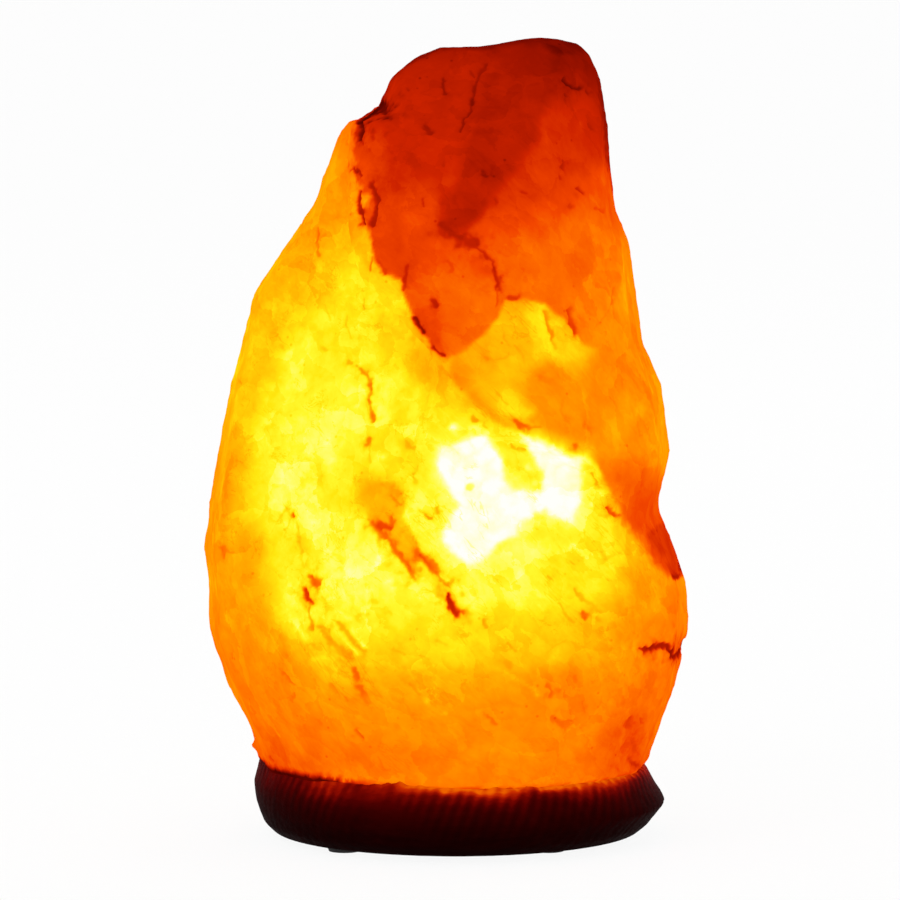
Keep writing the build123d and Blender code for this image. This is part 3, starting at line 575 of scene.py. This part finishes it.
CONTOUR = (  # upper outline of the block, from the left shoulder to the right end of the cap
    (300, 226), (316, 190), (330, 151), (341, 131), (349, 121), (359, 118), (371, 110), (376, 100),
    (379, 94), *CAP_TOP,
)
CONTOUR_TRIM_PX = 14  # the most that is taken off above it


def clear_of_bore(points):
    """1 on the block's outer skin and on its foot, 0 in its bore."""
    radius_mm = np.hypot(points[:, 0], points[:, 1]) / MM
    above_bore = smooth(0, 6, points[:, 2] / MM - BORE_TOP_MM)
    return np.maximum(smooth(0, 4, radius_mm - BORE_RADIUS_MM), above_bore)


def outside_share(points):
    """1 on the block's outer skin, 0 in its bore and on its foot."""
    return clear_of_bore(points) * smooth(0, 2.5, points[:, 2] / MM - BLOCK_FOOT_MM)


def towards_camera(points, normals):
    """1 for a surface that faces the camera, 0 edge-on, below zero behind."""
    rays = points - view_place
    return -np.sum(normals * rays, axis=1) / np.linalg.norm(rays, axis=1)


def crack_share(points, ragged):
    """1 in the middle of the painted cracks, less in the pale ones."""
    share = np.zeros(len(points))
    for path, half_width, target, strength in map(parted, CRACKS):
        near = strength * 0.5 ** ((path_distance(points, path) * ragged / half_width) ** 3)
        share = np.maximum(share, near * (0.4 + 0.6 * (target < 0.5)))
    return share


def near_crack(middles, normals):
    near = np.zeros(len(middles), bool)
    front = (towards_camera(middles, normals) > 0) & (outside_share(middles) > 0.5)
    places = picture(middles[front])
    for path, half_width, _, _ in map(parted, CRACKS):
        near[front] |= path_distance(places, path) < half_width + 2.5
    return near


def veins(points):
    """1 in thin ragged sheets through the block, which show as cracks where they reach its skin."""
    share = np.zeros(len(points))
    for across, spacing_mm, offset in VEIN_SHEETS:
        turn = points @ across / (spacing_mm * MM) + offset
        turn += 0.30 * clouds(points, 34, offset) + 0.04 * clouds(points, 5, offset + 7)
        from_sheet_mm = np.abs(turn - np.round(turn)) * spacing_mm
        there = smooth(0.12, 0.34, clouds(points, 19, offset + 57, 2))
        share = np.maximum(share, there * smooth(0.9, 0.2, from_sheet_mm))
    return share


def near_vein(middles, normals):
    found = np.zeros(len(middles), bool)
    behind = (towards_camera(middles, normals) < -0.05) & (outside_share(middles) > 0.5)
    found[behind] = veins(middles[behind]) > 0.02
    return found


def trimmed_to_contour(points):
    """Lowers what stands above the block's outline in the photograph."""
    places = picture(points)
    limit = np.interp(places[:, 0], *zip(*CONTOUR), left=0, right=0)
    excess = np.clip(limit - places[:, 1], 0, CONTOUR_TRIM_PX)
    trimmed = points.copy()
    trimmed[:, 2] -= excess * MM_PER_PX * MM
    return trimmed


class BlockSkin:
    """What both the relief and the glow need to know of each vertex of the block."""

    def __init__(self, mesh):
        self.points = points = mesh_points(mesh)
        self.normals = mesh_normals(mesh)
        self.places = picture(points)
        self.x_mm, self.depth_mm, self.height_mm = points.T / MM
        self.facing = towards_camera(points, self.normals)
        self.front = smooth(-0.5, -0.08, self.facing)
        self.outside = outside_share(points)
        self.near_side = self.front * self.outside * smooth(20, 6, self.depth_mm)
        self.veined = veins(points) * (1 - self.near_side)
        self.ridges = scallops(points + 0.002 * clouds(points, 9, 4.0)[:, None], 17, 2.0)
        self.chips = scallops(points + 0.001 * clouds(points, 4, 6.0)[:, None], 6.5, 5.0)
        # marks wander and tremble, so that no edge is ruler-straight
        self.wander = np.stack((clouds(points, 9, 11.0), clouds(points, 9, 17.0)), axis=1)
        self.tremble = np.stack((clouds(points, 2.4, 23.0), clouds(points, 2.4, 29.0)), axis=1)
        self.ragged = np.clip(1 + 0.9 * clouds(points, 2.6, 31.0, 2), 0.45, 2.2)
        self.crack_places = self.places + 1.7 * self.tremble


def relief(skin):
    """The vertices, sunk into bowls, chips, grains, cracks and veins."""
    calm = smooth(-0.5, 0.6, clouds(skin.points, 30, 1.0, 2))
    rough = clouds(skin.points, 2.6, 8.0)
    drop_mm = RIDGE_MM * (1 - skin.ridges) * (0.35 + 0.65 * calm)
    drop_mm += CHIP_MM * (1 - skin.chips) * (1 - 0.6 * calm) + GRAIN_MM * (1 + rough)
    drop_mm += CRACK_MM * skin.near_side * crack_share(skin.crack_places, skin.ragged)
    drop_mm += CRACK_MM * skin.veined
    moved = skin.points - skin.normals * (skin.outside * drop_mm * MM)[:, None]
    from_spur = np.hypot(*(skin.places - SPUR_PX).T) / SPUR_REACH_PX
    moved[:, 0] -= SPUR_MM * MM * 0.5 ** (from_spur**2) * smooth(-0.4, 0.1, skin.facing)
    return moved


def light_from_inside(skin):
    """The level the light has where it comes out, before the fields and marks are painted."""
    points = skin.points
    way_mm = np.linalg.norm(points - FILAMENT, axis=1) / MM
    level = 0.95 - 0.0082 * np.maximum(way_mm - 50, 0)
    level += 0.09 * clouds(points, 34, 3.0) + 0.04 * clouds(points, 12, 9.0)
    uneven_mm = skin.height_mm + 16 * clouds(points, 30, 45.0)
    impure = smooth(CAP_FROM_MM, CAP_FROM_MM + 5, uneven_mm)
    level = np.clip(level - impure * (0.13 + 0.08 * clouds(points, 19, 49.0)), 0.12, 0.97)
    level = lay(level, 0.6 * level, 0.8 * skin.veined)
    # painted shade along the outline, where the skin turns edge-on to the camera
    return level - 0.06 * smooth(0.22, 0.02, np.abs(skin.facing)) * skin.outside


def painted(skin, level, solid):
    """The photograph's fields and marks, laid on the side that it shows."""
    wandered = skin.places + 4.5 * skin.wander + 1.5 * skin.tremble
    fade_mm = skin.depth_mm + 8 * clouds(skin.points, 26, 61.0)
    wide = skin.front * solid * smooth(*FIELDS_FADE_MM, fade_mm)
    level = lay(level, painted_fields(wandered, level), wide)

    lens_deep = (skin.depth_mm - LENS_DEPTH_MM) / LENS_HALF_DEPTH_MM
    lens_high = (skin.height_mm - LENS_HEIGHT_MM + LENS_LEAN * skin.depth_mm) / LENS_HALF_HEIGHT_MM
    from_lens = np.hypot(lens_deep, lens_high) + 0.22 * clouds(skin.points, 9, 65.0)
    lens_share = smooth(1.12, 0.88, from_lens)

    fade_mm = skin.depth_mm + 4 * skin.wander[:, 0]
    close = smooth(-0.95, -0.1, skin.facing) * solid * smooth(*MARKS_FADE_MM, fade_mm)
    close = np.maximum(close, lens_share * solid * (skin.x_mm > 0))
    ragged = skin.ragged * (1 + 2 * smooth(-5, 4, skin.depth_mm))  # tapers the cracks off
    return lay(level, painted_marks(wandered, skin.crack_places, ragged, lens_share, level), close)


def shaded_foot(skin, level, solid):
    """Painted shade on the block's foot, as the plinth's dark lip hides it in the photograph."""
    above_mm = skin.height_mm - PLINTH_TOP_MM + 0.5 * skin.tremble[:, 1]
    top_mm = np.interp(skin.x_mm, *zip(*FOOT_SHADE_MM))
    patchy = np.clip(0.6 + skin.wander[:, 1] + skin.tremble[:, 0], 0, 1)
    foot = smooth(top_mm + 2.2, top_mm + 0.4, above_mm) * patchy
    # painted shade on the foot, nearly black where the plinth's lip covers it
    level = lay(level, 0.28, 0.75 * foot * solid)
    return lay(level, 0.05, smooth(top_mm + 0.5, top_mm - 0.2, above_mm) * solid)


def block_glow(skin):
    solid = clear_of_bore(skin.points)
    level = shaded_foot(skin, painted(skin, light_from_inside(skin), solid), solid)
    # besides random mottle: painted light, brighter in the bowls of the relief where the salt is
    # thinner, and painted shade on its ridges
    mottle = 0.022 * clouds(skin.points, 7, 41.0, 4) + 0.030 * (0.55 - skin.ridges)
    mottle += 0.035 * (0.5 - skin.chips)
    return level + mottle * solid * (0.45 + 0.55 * smooth(0.35, 0.8, level))


def make_salt_block():
    block = remeshed("salt_crystal", "salt_block", BLOCK_VOXEL_MM)
    mesh = block.data
    evened(mesh, 3)
    refined(mesh, lambda p, n: (towards_camera(p, n) > -0.1) & (outside_share(p) > 0.4))
    evened(mesh, 1)
    refined(mesh, near_crack)
    refined(mesh, near_vein)
    move_to(mesh, trimmed_to_contour(mesh_points(mesh)))
    skin = BlockSkin(mesh)
    move_to(mesh, relief(skin))
    store_glow(mesh, block_glow(skin))
    rounded_shading(block)
    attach(block, "stand")
    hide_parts("salt_crystal")
    return block


# --- Plinth ---

PLINTH_VOXEL_MM = 1.1
FLUTE_STEP_MM, FLUTE_DEPTH_MM = 3.8, 0.17
FLUTES_PER_RADIAN = 61 / FLUTE_STEP_MM
FLUTE_LEAN = 0.4  # how far a flute goes sideways for its height
GRAIN_DEPTH_MM = 0.12
PLINTH_BORE_MM = 27.0
LIP_MM = (  # how far the lip stands above the plinth's plane, from left to right
    (-57, 4.0), (-48, 3.4), (-38, 3.0), (-31, 2.7), (-13, 1.7), (0, 0.8), (12, 0.4), (38, 0.3),
    (43, 0.1), (52, -0.2), (59, -0.4),
)
BELLY_MM, BELLY_REACH_MM, BELLY_OUT_MM = 11.7, 3.0, 1.2  # where and how far the right end bulges
WARMTH = (  # how much of the salt's light the wood shows at a height in mm
    (2, 0.02), (8, 0.22), (14, 0.50), (18.5, 0.75), (20.5, 0.84), (22, 0.88),
)


def gouged_mm(points, normals, radius_mm):
    """How far the vertices sink: gouge marks that lean, as a blunt tool leaves them, and grain."""
    height_mm = points[:, 2] / MM
    rim = smooth(PLINTH_BORE_MM + 8, PLINTH_BORE_MM + 16, radius_mm) * smooth(2.2, 3.5, height_mm)
    turns = np.arctan2(points[:, 1], points[:, 0]) * FLUTES_PER_RADIAN
    turns -= FLUTE_LEAN / FLUTE_STEP_MM * height_mm
    turns += 0.3 * clouds(points, 16, 2.0, 2)
    marks = 0.5 + 0.5 * np.sin(2 * np.pi * turns)
    patches = smooth(-0.3, 0.5, clouds(points, 26, 7.0, 2))
    upright = np.hypot(normals[:, 0], normals[:, 1])
    drop_mm = FLUTE_DEPTH_MM * marks * patches * rim * upright
    return drop_mm + GRAIN_DEPTH_MM * rim * (1 + clouds(points, 3, 5.0))


def light_on_wood(points, normals, lip):
    """The salt's light: more towards the top, and full on the middle of the lip."""
    x = points[:, 0]
    warm = np.interp(points[:, 2] / MM, *zip(*WARMTH))
    warm *= 1 + 0.10 * clouds(points, 14, 19.0)
    warm *= 1 - 0.15 * smooth(-0.035, -0.055, x)
    lit_top = smooth(0.3, 0.85, normals[:, 2]) * lip * smooth(-0.026, -0.008, x)
    lit_top *= smooth(0.062, 0.050, x)
    return lay(warm, 0.97 + 0.03 * clouds(points, 3, 21.0), lit_top)


def make_plinth():
    plinth = remeshed("wood_base", "turned_plinth", PLINTH_VOXEL_MM)
    mesh = plinth.data
    evened(mesh, 2)
    points, normals = mesh_points(mesh), mesh_normals(mesh)
    x, height_mm = points[:, 0], points[:, 2] / MM
    radius_mm = np.hypot(points[:, 0], points[:, 1]) / MM
    lip = smooth(PLINTH_TOP_MM - 2.5, PLINTH_TOP_MM, height_mm) * smooth(44, 52, radius_mm)
    lift_mm = 1.0 * clouds(points, 7, 13.0, 2) + 0.9 * clouds(points, 2.8, 15.0, 2)
    lift_mm += np.interp(x / MM, *zip(*LIP_MM))
    belly = 0.5 ** (((height_mm - BELLY_MM) / BELLY_REACH_MM) ** 2)
    moved = points - normals * (gouged_mm(points, normals, radius_mm) * MM)[:, None]
    moved[:, 2] += lip * lift_mm * MM
    moved[:, 0] += BELLY_OUT_MM * MM * smooth(0.044, 0.058, x) * belly
    move_to(mesh, moved)
    store_glow(mesh, light_on_wood(points, normals, lip) * smooth(26, 40, radius_mm))
    rounded_shading(plinth)
    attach(plinth, "stand")
    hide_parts("wood_base")
    return plinth


# --- Materials ---


class Nodes:
    """Short ways to add nodes to a node tree."""

    def __init__(self, tree):
        self.tree = tree

    def feed(self, socket, value):
        if isinstance(value, bpy.types.NodeSocket):
            self.tree.links.new(value, socket)
        else:
            socket.default_value = value

    def node(self, kind, inputs=(), **settings):
        node = self.tree.nodes.new("ShaderNode" + kind)
        for name, value in settings.items():
            setattr(node, name, value)
        for key, value in dict(inputs).items():
            self.feed(node.inputs[key], value)
        return node

    def math(self, operation, first, second=0.0, third=0.0):
        inputs = {0: first, 1: second, 2: third}
        return self.node("Math", inputs, operation=operation).outputs[0]

    def times(self, first, second):
        return self.math("MULTIPLY", first, second)

    def times_plus(self, first, second, third):
        return self.math("MULTIPLY_ADD", first, second, third)

    def between(self, value, low, high, to_low=0.0, to_high=1.0):
        """The value, mapped from the first range to the second."""
        inputs = {0: value, 1: low, 2: high, 3: to_low, 4: to_high}
        return self.node("MapRange", inputs).outputs[0]

    def seen_directly(self):
        """1 for rays from the camera, also by way of gloss or glass, and 0 for all others."""
        path = self.node("LightPath").outputs
        seen = self.math("MAXIMUM", path["Is Camera Ray"], path["Is Glossy Ray"])
        return self.math("MAXIMUM", seen, path["Is Transmission Ray"])


class Shader(Nodes):
    """A material with one Principled shader, and the textures that feed it."""

    def __init__(self, name):
        self.material = bpy.data.materials.new(name)
        self.material.use_nodes = True
        super().__init__(self.material.node_tree)
        self.skin = self.tree.nodes["Principled BSDF"]
        self.place = self.node("TexCoord").outputs["Object"]

    def set(self, socket, value):
        self.feed(self.skin.inputs[socket], value)

    def stretched(self, stretch, turn=(0, 0, 0), place=None):
        """Coordinates in which a noise comes out longer along an axis, which is then turned."""
        inputs = {"Vector": place or self.place, "Scale": stretch, "Rotation": turn}
        return self.node("Mapping", inputs, vector_type="TEXTURE").outputs[0]

    def pushed(self, size_mm, reach_mm):
        """Coordinates pushed about by a noise, so that cells get ragged sides."""
        push = self.noise(size_mm, 4.0, 0.6).node.outputs["Color"]
        for operation, inputs in (("SUBTRACT", {1: (0.5, 0.5, 0.5)}), ("SCALE", {3: reach_mm * MM}),
                                  ("ADD", {1: self.place})):
            push = self.node("VectorMath", {0: push, **inputs}, operation=operation).outputs[0]
        return push

    def summed(self, *parts):
        """Noises about their middle value, each times its own strength, added up."""
        total = 0.0
        for value, strength in parts:
            part = self.times_plus(value, strength, -strength / 2)
            total = self.math("ADD", part, total)
        return total

    def noise(self, size_mm, detail, rough=0.55, place=None, warp=0.0):
        inputs = {"Vector": place or self.place, "Scale": 1 / (size_mm * MM), "Detail": detail,
                  "Roughness": rough, "Distortion": warp}
        return self.node("TexNoise", inputs).outputs[0]

    def cells(self, size_mm, place=None):
        inputs = {"Vector": place or self.place, "Scale": 1 / (size_mm * MM)}
        return self.node("TexVoronoi", inputs, feature="F1").outputs

    def facets(self, size_mm, place):
        """One random shade for each small crystal."""
        return self.node("SeparateColor", {0: self.cells(size_mm, place)["Color"]}).outputs[0]

    def glow(self):
        """The level that is stored on the vertices."""
        return self.node("Attribute", attribute_name="glow").outputs["Fac"]

    def ramp(self, value, stops):
        node = self.node("ValToRGB", {0: value})
        elements = node.color_ramp.elements
        while len(elements) < len(stops):
            elements.new(0.5)
        for element, (place, code) in zip(elements, stops):
            element.position, element.color = place, linear(code)
        return node.outputs[0]

    def bump(self, height, depth_mm):
        inputs = {"Height": height, "Distance": depth_mm * MM, "Strength": 1.0}
        self.set("Normal", self.node("Bump", inputs).outputs[0])


SALT_GLOW = (  # colour of the lit salt from almost dark to white-hot
    (0.00, "1e0000"), (0.10, "6e0800"), (0.20, "a01400"), (0.30, "cd2300"), (0.40, "f04400"),
    (0.50, "fd6e00"), (0.60, "fd9600"), (0.70, "fcbe04"), (0.79, "fce610"), (0.84, "fcf72c"),
    (0.90, "fcfb70"), (0.95, "fbfaaf"), (1.00, "fdfdfa"),
)
# body colour of the salt by glow level, darker where the glow is low: painted light and shade in
# the diffuse colour
LIT_SALT_BODY = ((0.0, "0c0000"), (0.3, "1c0200"), (0.6, "301000"), (1.0, "382400"))
WOOD_GLOW = (  # colour of the light that the wood passes on
    (0.0, "020000"), (0.2, "0e0000"), (0.4, "1e0000"), (0.6, "320000"), (0.72, "480000"),
    (0.82, "6c0400"), (0.88, "960f00"), (0.94, "c82c00"), (1.0, "ee6200"),
)
WOOD_BODY = ((0.30, "070000"), (0.52, "0c0000"), (0.74, "120101"))
CLEAVAGE_SLANT = (0, math.radians(-48), 0)


def salt_material():
    salt = Shader("salt")
    level = salt.glow()
    blotches = salt.noise(9.0, 3.0, 0.5, warp=0.6)
    slanted = salt.stretched((1, 1, 4), CLEAVAGE_SLANT)
    streaks = salt.noise(2.6, 4.0, 0.6, place=slanted, warp=1.2)
    streaky = salt.between(salt.noise(30, 2.0), 0.42, 0.58, 0.02, 0.10)
    plates = salt.facets(13.0, salt.stretched((1, 1, 1.5), CLEAVAGE_SLANT, salt.pushed(9.0, 11.0)))
    splinters = salt.facets(4.6, salt.stretched((1, 1, 1.8), CLEAVAGE_SLANT, salt.pushed(4.0, 5.0)))
    fine = salt.noise(1.3, 3.0, 0.6)
    texture = salt.summed((blotches, 0.07), (plates, 0.060), (splinters, 0.050), (fine, 0.035))
    streaked = salt.times(salt.math("SUBTRACT", streaks, 0.5), streaky)
    texture = salt.math("ADD", texture, streaked)
    # the texture is weaker in the dark salt, and in what is white-hot
    below_white = salt.between(level, 0.92, 0.98, 1.0, 0.3)
    depth = salt.times(salt.between(level, 0.15, 0.8, 0.4, 1.0), below_white)
    level = salt.times_plus(texture, depth, level)
    # hair cracks where a noise crosses its middle value, and small dark grains
    crossing = salt.math("SUBTRACT", salt.noise(6.5, 4.0, 0.6, place=slanted, warp=1.0), 0.5)
    line = salt.between(salt.math("ABSOLUTE", crossing), 0.0, 0.016, 1.0, 0.0)
    hair = salt.times(line, salt.between(salt.noise(11, 2.0), 0.52, 0.58))
    dots = salt.between(salt.cells(4.5)["Distance"], 0.0, 0.14, 1.0, 0.0)
    grains = salt.times(dots, salt.between(salt.noise(13, 1.0), 0.54, 0.60))
    level = salt.times_plus(hair, salt.between(level, 0.45, 0.65, 0.0, -0.055), level)
    level = salt.times_plus(grains, -0.10, level)
    salt.set("Emission Color", salt.ramp(level, SALT_GLOW))
    salt.set("Emission Strength", 1.0)
    # the diffuse colour follows the glow: painted light and shade
    salt.set("Base Color", salt.ramp(level, LIT_SALT_BODY))
    salt.set("Roughness", salt.between(blotches, 0.3, 0.7, 0.5, 0.8))
    salt.set("Specular IOR Level", 0.0)
    salt.bump(salt.times_plus(fine, 0.5, streaks), 0.3)
    return salt.material


def wood_material():
    wood = Shader("dark_turned_wood")
    warm = wood.glow()
    rings = wood.noise(2.4, 4.0, 0.6, place=wood.stretched((9, 1, 1)))
    pores = wood.noise(0.7, 2.0, 0.5, place=wood.stretched((10, 1, 1)))
    # the same gouge marks as in the plinth's form, with painted shade at their bottom
    axes = wood.node("SeparateXYZ", {0: wood.place}).outputs
    waver = wood.times(wood.noise(16, 2.0), 6.0)
    lean_turns = -2 * math.pi * FLUTE_LEAN / (FLUTE_STEP_MM * MM)
    lean = wood.times_plus(axes["Z"], lean_turns, waver)
    angle = wood.math("ARCTAN2", axes["Y"], axes["X"])
    turns = wood.times_plus(angle, 2 * math.pi * FLUTES_PER_RADIAN, lean)
    flutes = wood.times_plus(wood.math("SINE", turns), 0.5, 0.5)
    flutes = wood.times(flutes, wood.between(wood.noise(26, 2.0), 0.38, 0.55))
    flutes = wood.times(flutes, wood.between(warm, 0.62, 0.90, 1.0, 0.2))
    seen = wood.times_plus(wood.math("SUBTRACT", rings, 0.5), 0.12, warm)
    seen = wood.times(seen, wood.times_plus(flutes, -0.2, 1.03))
    wood.set("Base Color", wood.ramp(rings, WOOD_BODY))
    wood.set("Emission Color", wood.ramp(seen, WOOD_GLOW))
    wood.set("Emission Strength", 1.0)
    wood.set("Roughness", wood.between(pores, 0.3, 0.7, 0.5, 0.7))
    wood.set("Specular IOR Level", 0.004)
    wood.bump(pores, 0.10)
    return wood.material


def plain_material(name, dark, light, size_mm, rough_low, rough_high, metal, bump_mm):
    """A finish with a mottled colour, an uneven gloss and a fine bump."""
    finish = Shader(name)
    mottle = finish.noise(size_mm, 4.0, 0.6)
    finish.set("Base Color", finish.ramp(mottle, ((0.32, dark), (0.68, light))))
    finish.set("Roughness", finish.between(mottle, 0.3, 0.7, rough_low, rough_high))
    finish.set("Metallic", metal)
    finish.bump(finish.noise(size_mm / 4, 3.0), bump_mm)
    return finish.material


PLAIN_FINISHES = {  # slot: name, two colours, mottle in mm, two roughnesses, metal, bump in mm
    "rubber": ("rubber", "101010", "1d1c1b", 3, 0.75, 0.9, 0.0, 0.05),
    "steel_screws": ("zinc_steel", "8c8a84", "b9b5ab", 2, 0.28, 0.42, 1.0, 0.02),
    "bush_plastic": ("bush_plastic", "141414", "1f1f1f", 2, 0.55, 0.7, 0.0, 0.04),
    "black_plastic": ("moulded_black", "0d0d0d", "1a1a1a", 1.5, 0.3, 0.45, 0.0, 0.015),
    "ceramic": ("steatite", "cfc9ba", "e6e2d6", 4, 0.55, 0.7, 0.0, 0.02),
    "brass": ("brass", "a07a34", "cfa658", 3, 0.25, 0.4, 1.0, 0.02),
    "spring_steel": ("spring_steel", "8f9092", "bfc0c2", 2.5, 0.2, 0.36, 1.0, 0.02),
    "cap_metal": ("cap_metal", "a9a7a0", "d3d0c8", 2, 0.25, 0.4, 1.0, 0.02),
    "black_glass": ("black_glass", "08060a", "15101a", 2, 0.08, 0.16, 0.0, 0.01),
    "solder": ("solder", "9a9a9a", "c4c4c2", 1.2, 0.3, 0.5, 1.0, 0.06),
    "wire": ("wire", "7d736a", "a3968a", 1.0, 0.3, 0.45, 1.0, 0.01),
}


def glass_material(name, tint):
    glass = Shader(name)
    haze = glass.noise(5, 2.0)
    glass.set("Base Color", glass.ramp(haze, ((0.3, tint), (0.7, "ffffff"))))
    glass.set("Roughness", glass.between(haze, 0.3, 0.7, 0.0, 0.05))
    glass.set("Transmission Weight", 1.0)
    glass.set("IOR", 1.45)
    return glass.material


def filament_material():
    wire = Shader("lit_filament")
    coil = wire.noise(0.5, 2.0)
    wire.set("Base Color", wire.ramp(coil, ((0.3, "5a3a10"), (0.7, "8a5c20"))))
    wire.set("Emission Color", wire.ramp(coil, ((0.3, "ffb050"), (0.7, "ffe0a0"))))
    wire.set("Emission Strength", 1.0)
    wire.set("Roughness", wire.between(coil, 0.3, 0.7, 0.4, 0.6))
    return wire.material


def dress(piece, material):
    piece.data.materials.clear()
    piece.data.materials.append(material)


def dress_cad_pieces(replaced):
    """Gives each node of the CAD that still shows the finish of its slot."""
    finishes = {slot: plain_material(*row) for slot, row in PLAIN_FINISHES.items()}
    finishes["bulb_glass"] = glass_material("bulb_glass", "fff8ec")
    finishes["stem_glass"] = glass_material("stem_glass", "f0f2ee")
    finishes["filament"] = filament_material()
    for part in frame["record"]["subparts"]:
        if part["node"] not in replaced:
            dress(frame["nodes"][part["node"]], finishes[part["material_slot"]])


# --- Floor and light ---

FLOOR_HALF = 12.0
FLOOR_CLEAR = 0.92  # how far the floor lets the white world through, where it is seen directly
GROOVE_CLEAR = 0.25  # what is left of that under the groove of the plinth, to keep it in shade
GROOVE_HALF, GROOVE_START, GROOVE_END = (0.0065, 0.0045), (0.020, 0.035), (0.055, 0.051)
WORLD_LIGHT = 0.8
LAMP_AIM = Vector((0, 0, 0.12))


def floor_material():
    """Takes the lamp's shadow, and lets a holder that is pulled out below it be seen."""
    floor = Shader("pale_floor")
    floor.set("Base Color", (0.95, 0.95, 0.95, 1))
    floor.set("Roughness", 0.9)
    floor.set("Specular IOR Level", 0.1)
    direct = floor.seen_directly()
    axes = floor.node("SeparateXYZ", {0: floor.place}).outputs
    aside = floor.math("ABSOLUTE", axes["X"])
    groove = floor.between(aside, *GROOVE_HALF)
    for limits in (GROOVE_START, GROOVE_END):
        groove = floor.times(groove, floor.between(axes["Y"], *limits))
    clear = floor.times(direct, FLOOR_CLEAR)
    clear = floor.times(clear, floor.between(groove, 0.0, 1.0, 1.0, GROOVE_CLEAR))
    from_below = floor.node("NewGeometry").outputs["Backfacing"]
    clear = floor.math("MAXIMUM", clear, floor.times(direct, from_below))
    see_through = floor.node("BsdfTransparent").outputs[0]
    mix = floor.node("MixShader", {0: clear, 1: floor.skin.outputs[0], 2: see_through})
    floor.feed(floor.tree.nodes["Material Output"].inputs["Surface"], mix.outputs[0])
    return floor.material


def add_floor():
    mesh = bpy.data.meshes.new("floor")
    corners = [(x * FLOOR_HALF, y * FLOOR_HALF, 0) for x, y in ((-1, -1), (1, -1), (1, 1), (-1, 1))]
    mesh.from_pydata(corners, [], [(0, 1, 2, 3)])
    floor = object_from("floor", mesh)
    dress(floor, floor_material())


def add_world():
    """White where it is seen directly, and plain light otherwise."""
    world = bpy.data.worlds.new("studio")
    bpy.context.scene.world = world
    world.use_nodes = True
    nodes = Nodes(world.node_tree)
    background = world.node_tree.nodes["Background"]
    nodes.feed(background.inputs["Color"], (1, 1, 1, 1))
    strength = nodes.between(nodes.seen_directly(), 0.0, 1.0, WORLD_LIGHT, 1.0)
    nodes.feed(background.inputs["Strength"], strength)


def add_lamp(name, place, size, power):
    data = bpy.data.lights.new(name, "AREA")
    data.shape = "DISK"
    data.size = size
    data.energy = power
    lamp = object_from(name, data)
    lamp.location = place
    lamp.rotation_euler = (LAMP_AIM - Vector(place)).to_track_quat("-Z", "Y").to_euler()


add_camera()
dress(make_salt_block(), salt_material())
dress(make_plinth(), wood_material())
dress_cad_pieces(replaced={"salt_crystal", "wood_base"})
add_floor()
add_world()
add_lamp("key", (-0.9, -1.1, 1.4), 0.9, 6.0)
add_lamp("back", (0.6, 1.3, 1.2), 0.9, 3.0)
bpy.context.scene.view_settings.view_transform = "Standard"
